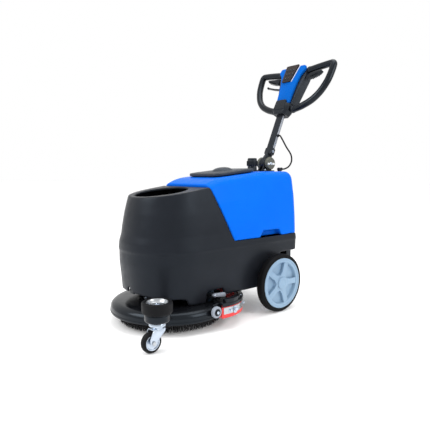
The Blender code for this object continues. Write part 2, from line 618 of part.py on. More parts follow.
def build_caster(root):
    """Build the side arm with its bumper roller above and its swivel caster below."""
    centre = (CASTER_X, SWIVEL_Y, 0)
    arm = lathe("caster_arm", [(0.0, 0.1055), (0.043, 0.1055), (0.045, 0.109), (0.045, 0.131),
                               (0.043, 0.135), (0.0, 0.135)], "black", root, centre, steps=24)
    along = Vector((CASTER_X - 0.100, SWIVEL_Y + 0.085)).normalized()
    across = Vector((-along.y, along.x)) * 0.022
    tail, head = Vector((0.100, -0.085)), Vector((CASTER_X, SWIVEL_Y))
    outline = [tuple(tail - across), tuple(head - across), tuple(head + across),
               tuple(tail + across)]
    bar = prism("arm_bar", outline, (0.1112, 0.1225), None, root, "Z")
    riser = block("arm_riser", (0.082, -0.103, 0.1115), (0.122, -0.072, PLATE_Z - GAP), None, root)
    join(arm, bar, riser)

    roll = add_pivot("axis_bumper", (CASTER_X, SWIVEL_Y, ROLLER_LOW_Z), root)
    lathe("bumper_tyre", [(0.0393, ROLLER_LOW_Z), (0.050, ROLLER_LOW_Z), (ROLLER_R, 0.139),
                          (ROLLER_R, 0.171), (0.050, ROLLER_TOP_Z), (0.0393, ROLLER_TOP_Z)],
          "rubber", roll, centre, steps=24)
    lathe("bumper_hub", [(0.0065, 0.1365), (0.039, 0.1365), (0.039, 0.1735), (0.036, 0.1735),
                         (0.033, 0.163), (0.012, 0.158), (0.0065, 0.158)], "steel", roll, centre,
          steps=24)
    bolt = lathe("bumper_bolt", rod_profile(0.0060, 0.1353, 0.1680), "zinc", root, centre, steps=12)
    head_nut = lathe("bumper_nut", rod_profile(0.0095, 0.1585, 0.1655), None, root, centre, steps=6)
    join(bolt, head_nut)

    swivel = add_pivot("axis_swivel", (CASTER_X, SWIVEL_Y, 0.08), root)
    ring = lathe("swivel_ring", [(0.0, 0.0800), (0.020, 0.0800), (0.020, 0.0885), (0.029, 0.092),
                                 (0.029, 0.098), (0.026, 0.1050), (0.0, 0.1050)], None, swivel,
                 centre, steps=20)
    axle_y = SWIVEL_Y - CASTER_TRAIL
    leg = [(axle_y - 0.012, CASTER_R - 0.006), (axle_y + 0.006, CASTER_R - 0.013),
           (axle_y + 0.016, CASTER_R + 0.004), (SWIVEL_Y + 0.022, 0.074), (SWIVEL_Y + 0.022, 0.082),
           (SWIVEL_Y - 0.026, 0.082), (axle_y - 0.014, 0.052)]
    fork = prism("caster_fork", leg, (CASTER_X - 0.0180, CASTER_X - 0.0150), "zinc", swivel)
    far_leg = prism("fork_leg", leg, (CASTER_X + 0.0150, CASTER_X + 0.0180), None, swivel)
    crown = prism("fork_crown", rounded_rectangle(0.018, -0.027, 0.023, 0.008),
                  (0.0795, 0.0825), None, swivel, "Z")
    crown.data.transform(Matrix.Translation((CASTER_X, SWIVEL_Y, 0)))
    join(fork, far_leg, crown, ring)
    roll_low = add_pivot("axis_caster", Vector((CASTER_X, axle_y, CASTER_R)) - swivel.location,
                         swivel)
    half = CASTER_HALF_WIDTH
    lathe("caster_tyre", [(0.0273, -half), (0.0325, -half), (0.0365, -half + 0.004),
                          (CASTER_R, -half + 0.008), (CASTER_R, half - 0.008),
                          (0.0365, half - 0.004), (0.0325, half), (0.0273, half)], "rubber",
          roll_low, (0, 0, 0), "X", 24, True)
    lathe("caster_hub", [(0.0043, -half - 0.001), (0.009, -half - 0.001), (0.010, -half + 0.004),
                         (0.022, -half + 0.004), (0.027, -half), (0.027, half), (0.022, half - 0.004),
                         (0.010, half - 0.004), (0.009, half + 0.001), (0.0043, half + 0.001)],
          "zinc", roll_low, (0, 0, 0), "X", 20, True)
    lathe("caster_axle", rod_profile(0.0040, -0.0147, 0.0147), "steel", swivel,
          Vector((CASTER_X, axle_y, CASTER_R)) - swivel.location, "X", 12, True)


# ---------------------------------------------------------------- squeegee

SQUEEGEE_ROUTE = [(SQUEEGEE_X, 0.060, 0), (SQUEEGEE_X, 0.118, 0), (0.238, 0.176, 0),
                  (0.186, 0.228, 0), (0.100, 0.262, 0), (0.0, SQUEEGEE_MID_Y, 0)]


def squeegee_band(name, section, finish, pivot, reach=0.0):
    """Sweep a section of (outward offset, height) points along the squeegee's curve."""
    half = [point for point in smooth_curve(SQUEEGEE_ROUTE, 0.026) if point.y > reach]
    line = half + [Vector((-p.x, p.y, 0)) for p in reversed(half[:-1])]
    rings = []
    for i, point in enumerate(line):
        before, after = line[max(0, i - 1)], line[min(len(line) - 1, i + 1)]
        along = (after - before).normalized()
        outward = Vector((along.y, -along.x, 0))
        rings.append([point + outward * offset + Vector((0, 0, z)) for offset, z in section])
    return loft(name, rings, finish, pivot)


def build_squeegee(root):
    """Build the curved squeegee: carrier, body, two blades, strap, rollers and lever."""
    pivot = add_pivot("slide_squeegee", (0, SQUEEGEE_MID_Y, SQUEEGEE_TOP_Z), root)
    under = SQUEEGEE_TOP_Z - 0.006
    body_section = [(-0.0057, 0.070), (0.0057, 0.070), (0.0057, under), (0.0105, under),
                    (0.0105, SQUEEGEE_TOP_Z), (-0.0085, SQUEEGEE_TOP_Z), (-0.0085, under),
                    (-0.0057, under)]
    body = squeegee_band("squeegee_body", body_section, "black", pivot)
    carrier = prism("carrier_plate", [(-0.078, 0.262), (0.078, 0.262), (0.066, 0.306),
                                      (-0.066, 0.306)], (SQUEEGEE_TOP_Z - 0.003, 0.117), None,
                    pivot, "Z")
    join(body, carrier)
    for side in (-1, 1):
        cut(body, lathe(f"post_bore_{side}", rod_profile(POST_R + 0.0006, 0.05, 0.15), None, pivot,
                        (side * POST_X, POST_Y, 0.0), "Z", SMALL_STEPS))
    low, high = SQUEEGEE_LOW_Z, under - 0.0015
    squeegee_band("front_blade", tube_profile(-0.0090, -0.0060, low, high), "red", pivot)
    squeegee_band("rear_blade", tube_profile(0.0060, 0.0090, low, high), "red", pivot)
    squeegee_band("blade_strap", tube_profile(0.0093, 0.0107, 0.062, 0.088), "steel", pivot, 0.068)
    elbow = lathe("suction_elbow", tube_profile(0.0165, 0.0200, 0.116, 0.150), None, pivot,
                  (0, SQUEEGEE_MID_Y, 0), "Z", 20)
    join(body, elbow)
    cut(body, lathe("suction_bore", rod_profile(0.0050, 0.06, 0.13), None, pivot, (0, SQUEEGEE_MID_Y, 0),
                    "Z", SMALL_STEPS))
    cheek_outline = [(0.026, 0.0765), (0.036, 0.068), (0.050, 0.072), (0.0590, 0.080),
                     (0.0590, 0.1002), (0.0640, 0.1002), (0.0640, 0.1065), (0.030, 0.1065)]
    for side, name in ((1, "left"), (-1, "right")):
        axle = (side * 0.2625, 0.036, 0.0765)
        turn = add_pivot(f"axis_roller_{name}", Vector(axle) - pivot.location, pivot)
        lathe(f"squeegee_roller_{name}", [(0.0063, -0.008), (0.020, -0.008),
                                          (SQUEEGEE_ROLLER_R, -0.0055), (SQUEEGEE_ROLLER_R, 0.0055),
                                          (0.020, 0.008), (0.0063, 0.008)], "grey", turn,
              (0, 0, 0), "X", 20, True)
        cheek = prism(f"roller_bracket_{name}", cheek_outline,
                      sorted((side * 0.2496, side * 0.2542)), None, pivot)
        pin = lathe(f"roller_pin_{name}", rod_profile(0.0060, -0.0100, 0.0100), None, pivot,
                    (side * (ROLLER_PIN_END - 0.0100), 0.036, 0.0765), "X", 12)
        join(body, cheek, pin)


def build_lever(root):
    """Build the squeegee's grey locking lever on its bracket at the left side."""
    bracket = block("lever_bracket", (0.150, 0.060, 0.1125), (0.2030, 0.118, 0.1195), "black", root)
    tab = block("bracket_tab", (0.1990, 0.060, 0.1125), (0.2030, 0.074, 0.1330), None, root)
    join(bracket, tab)
    pivot = add_pivot("axis_lever", (0.2033, 0.067, 0.1265), root)
    outline = [(0.060, 0.1265), (0.063, 0.1210), (0.070, 0.1195), (0.119, 0.1130), (0.124, 0.1165),
               (0.122, 0.1290), (0.116, 0.1310), (0.070, 0.1335), (0.063, 0.1320)]
    lever = prism("squeegee_lever", outline, (0.2060, 0.2180), "grey", pivot, bevel=0.0015)
    boss = lathe("lever_boss", rod_profile(0.0040, 0.2033, 0.2070), None, pivot,
                 (0, 0.067, 0.1265), "X", 12)
    join(lever, boss)


# ---------------------------------------------------------------- folding handle


def build_pivot_bracket(tank_pivot):
    """Build the fixed two-eared bracket, its bolt and the two clamp knobs."""
    shift = tank_pivot.location
    centre = Vector((0, FOLD_Y, FOLD_Z)) - shift
    base = TANK_TOP_Z + GAP

    def ear(low, high, name, finish=None):
        outline = (arc((FOLD_Y, FOLD_Z), 0.030, -20, 200, 12)
                   + [(FOLD_Y - 0.042, base + 0.002), (FOLD_Y + 0.020, base + 0.002)])
        return prism(name, outline, (low, high), finish, tank_pivot)

    bracket = ear(0.0085, 0.0175, "pivot_bracket", "black")
    foot = prism("bracket_foot", rounded_rectangle(0.044, FOLD_Y - 0.050, FOLD_Y + 0.020, 0.008),
                 (base, base + 0.005), None, tank_pivot, "Z")
    join(bracket, ear(-0.0175, -0.0085, "far_ear"), foot)
    cut(bracket, lathe("bolt_bore", rod_profile(0.0053, -0.05, 0.05), None, tank_pivot, centre, "X",
                       16, True))
    lathe("pivot_bolt", rod_profile(0.0050, -0.0240, 0.0240), "steel", tank_pivot, centre, "X", 16,
          True)
    knob_profile = [(0.0, 0.0350), (0.0230, 0.0350), (0.0255, 0.0330), (0.0255, 0.0210),
                    (0.0200, 0.0178), (0.0053, 0.0178), (0.0053, 0.0245), (0.0, 0.0245)]
    for side, name in ((1, "left"), (-1, "right")):
        pivot = add_pivot(f"axis_knob_{name}", centre, tank_pivot)
        lathe(f"clamp_knob_{name}", [(radius, side * x) for radius, x in knob_profile], "olive",
              pivot, (0, 0, 0), "X", 20, True)


LOOP_ROUTE = [(0.0870, 0.507), (0.150, 0.515), (0.208, 0.521), (0.2305, 0.505), (0.232, 0.460),
              (0.218, 0.400), (0.186, 0.350), (0.140, 0.318), (0.095, 0.302), (0.0535, 0.2932)]


def build_handle(tank_pivot):
    """Build the folding handle in its own leaning frame: Z runs up the column."""
    fold = add_pivot("axis_fold", Vector((0, FOLD_Y, FOLD_Z)) - tank_pivot.location, tank_pivot,
                     -LEAN)
    foot_side = (arc((0, 0), 0.029, 180, 360, 10) + [(0.026, 0.020), (0.013, 0.052),
                                                     (0.013, 0.068), (-0.013, 0.068),
                                                     (-0.013, 0.052), (-0.026, 0.020)])
    foot = prism("column_foot", foot_side, (-0.0082, 0.0082), None, fold, "X", 0.0, True)
    socket = block("foot_socket", (-0.0170, -0.0160, 0.046), (0.0170, 0.0160, 0.080), None, fold,
                   0.0, True)
    column = block("handle_column", (-0.0140, -0.0130, 0.050), (0.0140, 0.0130, 0.2600), "black",
                   fold, 0.0, True)
    join(column, foot, socket)
    cut(column, lathe("foot_bore", rod_profile(0.0053, -0.05, 0.05), None, fold, (0, 0, 0), "X",
                      16, True))
    collar_front = [(-0.036, 0.2603), (0.036, 0.2603), (0.050, 0.283), (0.050, 0.318),
                    (-0.050, 0.318), (-0.050, 0.283)]
    prism("column_collar", collar_front, (-0.030, 0.034), "black", fold, "Y", 0.002, True)
    body_front = [(-0.049, 0.3183), (0.049, 0.3183), (0.083, 0.470),
                  (0.083, CONSOLE_TOP_U), (-0.083, CONSOLE_TOP_U), (-0.083, 0.470)]
    prism("console_housing", body_front, (-0.004, CONSOLE_BACK), "black", fold, "Y", 0.003, True)
    cover_front = [(-0.046, 0.3190), (0.046, 0.3190), (0.086, 0.500), (0.078, 0.528),
                   (-0.078, 0.528), (-0.086, 0.500)]
    prism("console_cover", cover_front, (-0.0200, -0.0043), "blue", fold, "Y", 0.003, True)
    pad_front = [(-0.040, 0.440), (0.012, 0.440), (0.040, 0.520), (-0.036, 0.520)]
    prism("control_keypad", pad_front, (-0.0240, -0.0203), "black", fold, "Y", 0.001, True)
    for side, name in ((1, "left"), (-1, "right")):
        route = smooth_curve([(side * x, LOOP_BACK, u) for x, u in LOOP_ROUTE], 0.020)
        tube(f"handle_loop_{name}", route, BAR_R, "black", fold, True)
        trigger_pivot = add_pivot(f"axis_trigger_{name}", (side * 0.0890, 0.008, 0.470), fold)
        wedge = [(0.0, -0.005), (0.004, -0.012), (0.078, 0.008), (0.088, 0.020), (0.080, 0.021),
                 (0.0, 0.015)]
        prism(f"trigger_{name}", [(side * a, b) for a, b in wedge], (-0.009, 0.009), "black",
              trigger_pivot, "Y", 0.001, True)
    lift_pivot = add_pivot("axis_lift_lever", (-0.0830, 0.020, 0.430), fold)
    thin = [(0.0020, -0.003), (0.045, 0.006), (0.098, 0.022), (0.100, 0.029), (0.042, 0.012),
            (0.0020, 0.004)]
    prism("lift_lever", [(-a, b) for a, b in thin], (-0.006, 0.006), "black", lift_pivot, "Y", 0.0, True)
    gland_u = 0.150
    lathe("cable_gland", rod_profile(0.0065, 0.0143, 0.0263), "black", fold, (0, 0, gland_u), "X",
          16, True)
    start = Matrix.Rotation(-LEAN, 3, "X") @ Vector((0.0266, 0.0, gland_u))
    start += Vector((0, FOLD_Y, FOLD_Z))
    return start


def build_cable(tank_pivot, start):
    """Build the control cable from the column's gland down to the socket on the bracket's foot."""
    shift = tank_pivot.location
    socket_end = Vector((0.0925, 0.5853, 0.6275))
    socket = block("cable_socket", (0.0865, 0.560, TANK_TOP_Z + GAP), (0.0985, 0.576, 0.6280),
                   "black", tank_pivot)
    barrel = prism("socket_barrel", arc((0.0925, 0.6275), 0.0075, 0, 360, SMALL_STEPS)[:-1],
                   (0.5590, 0.5850), None, tank_pivot, "Y")
    join(socket, barrel)
    route = [start, start + Vector((0.012, 0.001, -0.004)), (0.060, 0.650, 0.738),
             (0.080, 0.662, 0.700), (0.090, 0.657, 0.668), (0.0935, 0.635, 0.642),
             (0.0930, 0.606, 0.6295), socket_end]
    points = [point - shift for point in smooth_curve(route, 0.009)]
    tube("control_cable", points, 0.00375, "black", tank_pivot, True)


# ---------------------------------------------------------------- assembly


def main():
    """Build the whole machine."""
    clear_scene()
    root = add_pivot("machine", ORIGIN_SHIFT, None)
    ground = add_pivot("ground", (0, 0, 0), root)
    for side in (1, -1):
        build_wheel(side, ground)
    build_frame(ground)
    build_solution_tank(ground)
    build_bay_contents(ground)
    build_deck(ground)
    build_caster(ground)
    build_squeegee(ground)
    build_lever(ground)
    tank_pivot = add_pivot("axis_tank", (0, REAR_Y + 0.003, SEAM_Z), ground)
    build_recovery_tank(tank_pivot)
    build_lid(tank_pivot)
    build_port(tank_pivot)
    build_pivot_bracket(tank_pivot)
    start = build_handle(tank_pivot)
    build_cable(tank_pivot, start)


main()
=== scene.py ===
"""A walk-behind floor scrubber, modelled in full detail over its CAD frame.

Sizes are in metres. Every class works in machine coordinates: X is 0 on the machine's
middle plane and positive on its left side, Y is 0 on the brush's axis and grows towards
the rear, and Z is 0 on the floor. Pieces of the folding handle work in the handle's own
coordinates, with Z running up the column from the fold axis. The two placements below
carry both into the row frame.
"""

import logging
import math
import random
from dataclasses import dataclass
from enum import Enum
from typing import Callable, Iterable, Sequence

import bmesh
import bpy
from mathutils import Matrix, Vector


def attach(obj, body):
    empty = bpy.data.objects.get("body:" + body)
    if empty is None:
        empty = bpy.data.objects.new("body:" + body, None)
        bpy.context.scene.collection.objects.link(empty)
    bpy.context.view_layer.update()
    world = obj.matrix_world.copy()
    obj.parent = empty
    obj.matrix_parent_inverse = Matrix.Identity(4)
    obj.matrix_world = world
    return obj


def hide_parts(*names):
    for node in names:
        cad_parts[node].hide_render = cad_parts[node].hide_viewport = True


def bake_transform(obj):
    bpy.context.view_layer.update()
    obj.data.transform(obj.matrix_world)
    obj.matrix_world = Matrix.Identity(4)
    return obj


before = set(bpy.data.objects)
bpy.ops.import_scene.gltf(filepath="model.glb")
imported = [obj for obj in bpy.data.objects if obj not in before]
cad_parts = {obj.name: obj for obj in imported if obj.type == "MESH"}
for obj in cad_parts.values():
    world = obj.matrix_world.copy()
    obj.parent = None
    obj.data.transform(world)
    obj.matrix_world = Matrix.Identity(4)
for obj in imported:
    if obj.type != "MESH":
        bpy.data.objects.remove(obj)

log = logging.getLogger("scrubber")

Point = Sequence[float]
Profile = list[tuple[float, float]]

LEAN = math.radians(23.6)
FOLD = Vector((0.0, 0.571, 0.655))
MACHINE = Matrix.Translation((-0.029, -0.25837, 0.0))
HANDLE = MACHINE @ Matrix.Translation(FOLD) @ Matrix.Rotation(-LEAN, 4, "X")


# ------------------------------------------------------------------------------ finishes


class Grain(Enum):
    """The relief that a surface carries."""

    MOULDED = "moulded"
    HAMMERED = "hammered"
    BRUSHED = "brushed"
    SMOOTH = "smooth"


@dataclass(frozen=True)
class Finish:
    """How one material looks.

    Attributes:
        name: name of the Blender material.
        slot: the record's material slot that it stands for; not used.
        colour: main colour, linear RGB.
        shade: the colour it drifts to in broad, faint patches.
        roughness: middle roughness.
        spread: how far the roughness drifts either way.
        metallic: 1 for bare metal.
        grain: kind of relief.
        relief: height of the relief.
        pitch: size of the relief's cells, as a noise scale.
        specular: strength of the mirror-like part of the reflection.
        tint: colour of that reflection.
    """

    name: str
    slot: str
    colour: tuple[float, float, float]
    shade: tuple[float, float, float]
    roughness: float
    spread: float = 0.06
    metallic: float = 0.0
    grain: Grain = Grain.MOULDED
    relief: float = 0.0002
    pitch: float = 700.0
    specular: float = 0.5
    tint: tuple[float, float, float] = (1.0, 1.0, 1.0)

    def material(self) -> bpy.types.Material:
        """Return the node material, built on first use."""
        known = bpy.data.materials.get(self.name)
        if known is not None:
            return known
        material = bpy.data.materials.new(self.name)
        material.use_nodes = True
        tree = material.node_tree
        shader = tree.nodes["Principled BSDF"]
        place = tree.nodes.new("ShaderNodeTexCoord").outputs["Object"]
        drift = self._noise(tree, place, 5.0, 4.0)
        ramp = tree.nodes.new("ShaderNodeValToRGB")
        ramp.color_ramp.elements[0].position = 0.36
        ramp.color_ramp.elements[0].color = (*self.shade, 1.0)
        ramp.color_ramp.elements[1].position = 0.64
        ramp.color_ramp.elements[1].color = (*self.colour, 1.0)
        tree.links.new(drift, ramp.inputs["Fac"])
        tree.links.new(ramp.outputs["Color"], shader.inputs["Base Color"])
        smear = tree.nodes.new("ShaderNodeMapRange")
        smear.inputs["From Min"].default_value = 0.3
        smear.inputs["From Max"].default_value = 0.7
        smear.inputs["To Min"].default_value = self.roughness - self.spread
        smear.inputs["To Max"].default_value = self.roughness + self.spread
        tree.links.new(self._noise(tree, place, 38.0, 3.0), smear.inputs["Value"])
        tree.links.new(smear.outputs["Result"], shader.inputs["Roughness"])
        shader.inputs["Metallic"].default_value = self.metallic
        shader.inputs["Specular IOR Level"].default_value = self.specular
        shader.inputs["Specular Tint"].default_value = (*self.tint, 1.0)
        bump = tree.nodes.new("ShaderNodeBump")
        bump.inputs["Strength"].default_value = 0.6
        bump.inputs["Distance"].default_value = self.relief
        tree.links.new(self._height(tree, place), bump.inputs["Height"])
        tree.links.new(bump.outputs["Normal"], shader.inputs["Normal"])
        return material

    @staticmethod
    def _noise(tree: bpy.types.NodeTree, place: bpy.types.NodeSocket, scale: float,
               detail: float) -> bpy.types.NodeSocket:
        """Add a noise texture and return its value."""
        node = tree.nodes.new("ShaderNodeTexNoise")
        node.inputs["Scale"].default_value = scale
        node.inputs["Detail"].default_value = detail
        tree.links.new(place, node.inputs["Vector"])
        return node.outputs["Fac"]

    def _height(self, tree: bpy.types.NodeTree,
                place: bpy.types.NodeSocket) -> bpy.types.NodeSocket:
        """Add the relief's pattern and return its height."""
        if self.grain is Grain.HAMMERED:
            node = tree.nodes.new("ShaderNodeTexVoronoi")
            node.inputs["Scale"].default_value = self.pitch
            tree.links.new(place, node.inputs["Vector"])
            return node.outputs["Distance"]
        if self.grain is Grain.BRUSHED:
            stretch = tree.nodes.new("ShaderNodeMapping")
            stretch.inputs["Scale"].default_value = (1.0, 1.0, 0.04)
            tree.links.new(place, stretch.inputs["Vector"])
            return self._noise(tree, stretch.outputs["Vector"], self.pitch, 3.0)
        return self._noise(tree, place, self.pitch, 2.0)


COOL = (0.72, 0.86, 1.0)
CHARCOAL = Finish("charcoal moulding", "charcoal_plastic", (0.0095, 0.0105, 0.0140),
                  (0.0070, 0.0078, 0.0106), 0.38, 0.05, relief=0.00022, pitch=620.0,
                  specular=0.17, tint=COOL)
CHARCOAL_SMOOTH = Finish("charcoal lid", "charcoal_plastic", (0.024, 0.029, 0.038),
                         (0.020, 0.024, 0.032), 0.40, 0.05, relief=0.00015, specular=0.26,
                         tint=COOL)
BLUE = Finish("blue moulding", "blue_plastic", (0.0008, 0.122, 0.670), (0.0006, 0.110, 0.610),
              0.34, 0.05, relief=0.00018, pitch=620.0, specular=0.035)
BLUE_COVER = Finish("blue console cover", "blue_plastic", (0.0008, 0.096, 0.430),
                    (0.0008, 0.080, 0.360), 0.32, 0.05, relief=0.00012, specular=0.03)
GLOSS_BLACK = Finish("gloss black", "black_plastic", (0.0050, 0.0055, 0.0070),
                     (0.0040, 0.0044, 0.0056), 0.22, 0.05, grain=Grain.SMOOTH, relief=0.00006,
                     pitch=160.0, specular=0.24, tint=COOL)
SATIN_BLACK = Finish("satin black", "black_plastic", (0.0085, 0.0092, 0.0110),
                     (0.0065, 0.0070, 0.0085), 0.38, 0.06, relief=0.00015, specular=0.24,
                     tint=COOL)
HAMMERED_BLACK = Finish("hammered black", "black_plastic", (0.022, 0.024, 0.029),
                        (0.010, 0.011, 0.014), 0.46, 0.08, grain=Grain.HAMMERED, relief=0.0012,
                        pitch=190.0, specular=0.36, tint=COOL)
KEYPAD = Finish("keypad film", "black_plastic", (0.020, 0.013, 0.012), (0.014, 0.010, 0.009),
                0.30, 0.04, grain=Grain.SMOOTH, relief=0.00005, specular=0.24)
PALE_MARK = Finish("pale print", "black_plastic", (0.62, 0.66, 0.72), (0.55, 0.59, 0.66), 0.40,
                   grain=Grain.SMOOTH, relief=0.00003)
RUBBER = Finish("rubber", "black_rubber", (0.0055, 0.0058, 0.0068), (0.0040, 0.0042, 0.0050),
                0.55, relief=0.0003, pitch=420.0, specular=0.11)
BRISTLE = Finish("bristle", "black_rubber", (0.016, 0.016, 0.018), (0.008, 0.008, 0.009), 0.50,
                 specular=0.25)
TYRE = Finish("tyre", "tyre_rubber", (0.0042, 0.0044, 0.0050), (0.0030, 0.0031, 0.0036), 0.55,
              relief=0.0004, pitch=300.0, specular=0.08)
BLACK_METAL = Finish("powder coat", "black_metal", (0.0080, 0.0088, 0.0115),
                     (0.0060, 0.0066, 0.0088), 0.30, 0.06, relief=0.0002, pitch=900.0,
                     specular=0.26, tint=COOL)
GREY_METAL = Finish("grey coated face", "black_metal", (0.30, 0.32, 0.36), (0.24, 0.26, 0.30),
                    0.34, 0.05, metallic=0.6, relief=0.0001)
HUB = Finish("hub moulding", "hub_plastic", (0.235, 0.350, 0.470), (0.195, 0.300, 0.420), 0.40,
             0.06, relief=0.0002, specular=0.40)
STEEL = Finish("brushed steel", "plain_steel", (0.44, 0.46, 0.48), (0.32, 0.34, 0.36), 0.28, 0.08,
               1.0, Grain.BRUSHED, 0.0001, 500.0)
ZINC = Finish("bright zinc", "zinc_steel", (0.46, 0.52, 0.60), (0.34, 0.40, 0.49), 0.24, 0.08, 1.0,
              Grain.SMOOTH, 0.00012, 240.0)
RED = Finish("red blade", "red_blade", (0.700, 0.055, 0.055), (0.620, 0.042, 0.044), 0.44,
             relief=0.0001, specular=0.25)
RED_BALL = Finish("red ball", "red_ball", (0.760, 0.060, 0.050), (0.70, 0.05, 0.04), 0.28,
                  grain=Grain.SMOOTH)
GREY = Finish("grey moulding", "grey_plastic", (0.25, 0.28, 0.33), (0.20, 0.23, 0.28), 0.42,
              relief=0.0002)
OLIVE = Finish("olive moulding", "olive_plastic", (0.110, 0.113, 0.090), (0.080, 0.083, 0.066),
               0.55, relief=0.0003, specular=0.25)
OLIVE_RIM = Finish("pale knob teeth", "olive_plastic", (0.70, 0.72, 0.69), (0.60, 0.62, 0.59),
                   0.45, relief=0.0001)
DARK_CASE = Finish("dark case", "dark_case", (0.030, 0.031, 0.036), (0.022, 0.023, 0.027), 0.50,
                   specular=0.3)


# ------------------------------------------------------------------------------ workshop


def arc(centre: Point, radius: float, start: float, stop: float, count: int) -> Profile:
    """Return points on an arc, with angles in degrees."""
    step = (stop - start) / count
    return [(centre[0] + radius * math.cos(math.radians(start + step * k)),
             centre[1] + radius * math.sin(math.radians(start + step * k)))
            for k in range(count + 1)]


def rounded(outline: Iterable[Point], radius: float, count: int = 4,
            closed: bool = True) -> Profile:
    """Round each corner of a flat outline.

    Args:
        outline: the corners in order.
        radius: size of the rounding, reduced where two corners lie close together.
        count: facets per corner.
        closed: whether the last corner joins the first.

    Returns:
        The rounded outline's points.
    """
    corners = [Vector(point) for point in outline]
    total = len(corners)
    points: Profile = []
    for i, corner in enumerate(corners):
        if not closed and i in (0, total - 1):
            points.append((corner.x, corner.y))
            continue
        before, after = corners[i - 1] - corner, corners[(i + 1) % total] - corner
        if before.length < 1e-9 or after.length < 1e-9:
            continue
        reach = min(radius, 0.45 * before.length, 0.45 * after.length)
        if before.normalized().dot(after.normalized()) < -0.995:
            points.append((corner.x, corner.y))
            continue
        start = corner + before.normalized() * reach
        stop = corner + after.normalized() * reach
        for k in range(count + 1):
            t = k / count
            bent = start * (1 - t) ** 2 + corner * 2 * t * (1 - t) + stop * t ** 2
            points.append((bent.x, bent.y))
    return points


def box_outline(low: Point, high: Point, radius: float, count: int = 5) -> Profile:
    """Return a rectangle's outline with round corners."""
    return rounded([(low[0], low[1]), (high[0], low[1]), (high[0], high[1]), (low[0], high[1])],
                   radius, count)


def smooth_line(points: Iterable[Point], step: float) -> list[Vector]:
    """Return points a fixed step apart along a smooth curve through the given ones."""
    knots = [Vector(point) for point in points]
    knots = [2 * knots[0] - knots[1]] + knots + [2 * knots[-1] - knots[-2]]
    fine: list[Vector] = []
    for a, b, c, d in zip(knots, knots[1:], knots[2:], knots[3:]):
        for k in range(24):
            t = k / 24
            fine.append(0.5 * (2 * b + (c - a) * t + (2 * a - 5 * b + 4 * c - d) * t ** 2
                               + (3 * b - a - 3 * c + d) * t ** 3))
    fine.append(knots[-2])
    reach = [0.0]
    for a, b in zip(fine, fine[1:]):
        reach.append(reach[-1] + (b - a).length)
    count = max(2, round(reach[-1] / step))
    result, i = [], 0
    for k in range(count + 1):
        target = reach[-1] * k / count
        while i < len(fine) - 2 and reach[i + 1] < target:
            i += 1
        result.append(fine[i].lerp(fine[i + 1], (target - reach[i]) / (reach[i + 1] - reach[i])))
    return result


def turned_shape(profile: Profile, axis: str = "Z", centre: Point = (0, 0, 0),
                 steps: int = 64) -> bmesh.types.BMesh:
    """Turn a profile of (radius, height) points about an axis through a centre.

    Args:
        profile: the section. It is closed unless it starts on the axis.
        axis: "X", "Y" or "Z".
        centre: a point on the axis, where the height is 0.
        steps: facets round the piece.

    Returns:
        The shape.
    """
    shape = bmesh.new()
    verts = [shape.verts.new((radius, 0.0, height)) for radius, height in profile]
    edges = [shape.edges.new(pair) for pair in zip(verts, verts[1:])]
    if profile[0][0] > 1e-7:
        edges.append(shape.edges.new((verts[-1], verts[0])))
    bmesh.ops.spin(shape, geom=verts + edges, cent=(0, 0, 0), axis=(0, 0, 1), angle=math.tau,
                   steps=steps, use_merge=True)
    turn = {"X": Matrix.Rotation(math.radians(90), 4, "Y"),
            "Y": Matrix.Rotation(math.radians(-90), 4, "X"), "Z": Matrix.Identity(4)}[axis]
    shape.transform(Matrix.Translation(centre) @ turn)
    return shape


def slab_shape(outline: Profile, span: tuple[float, float], axis: str = "X", bevel: float = 0.0,
               segments: int = 3) -> bmesh.types.BMesh:
    """Extrude a flat outline along an axis and round its edges.

    Args:
        outline: points (Y, Z), (X, Z) or (X, Y), for the axis X, Y or Z.
        span: where the slab starts and ends along the axis.
        axis: "X", "Y" or "Z".
        bevel: rounding of the edges.
        segments: facets across the rounding.

    Returns:
        The shape.
    """
    lift: Callable[[float, float, float], tuple] = {
        "X": lambda a, b, c: (c, a, b), "Y": lambda a, b, c: (a, c, b),
        "Z": lambda a, b, c: (a, b, c)}[axis]
    shape = bmesh.new()
    face = shape.faces.new([shape.verts.new(lift(a, b, span[0])) for a, b in outline])
    grown = bmesh.ops.extrude_face_region(shape, geom=[face])
    moved = [item for item in grown["geom"] if isinstance(item, bmesh.types.BMVert)]
    bmesh.ops.translate(shape, verts=moved, vec=lift(0, 0, span[1] - span[0]))
    bmesh.ops.recalc_face_normals(shape, faces=shape.faces)
    if bevel:
        sharp = [edge for edge in shape.edges if edge.calc_face_angle(0.0) > math.radians(25)]
        bmesh.ops.bevel(shape, geom=sharp, offset=bevel, offset_type="OFFSET", affect="EDGES",
                        segments=segments, profile=0.5, material=-1, clamp_overlap=True)
    return shape


def box_shape(low: Point, high: Point, bevel: float = 0.0) -> bmesh.types.BMesh:
    """Make a box between two corners."""
    outline = [(low[0], low[1]), (high[0], low[1]), (high[0], high[1]), (low[0], high[1])]
    return slab_shape(outline, (low[2], high[2]), "Z", bevel)


def skin_shape(rings: Sequence[Sequence[Point]]) -> bmesh.types.BMesh:
    """Skin a stack of closed rings with equal numbers of points."""
    shape = bmesh.new()
    loops = [[shape.verts.new(point) for point in ring] for ring in rings]
    count = len(loops[0])
    for lower, upper in zip(loops, loops[1:]):
        for i in range(count):
            j = (i + 1) % count
            shape.faces.new((lower[i], lower[j], upper[j], upper[i]))
    shape.faces.new(loops[0])
    shape.faces.new(loops[-1])
    return shape


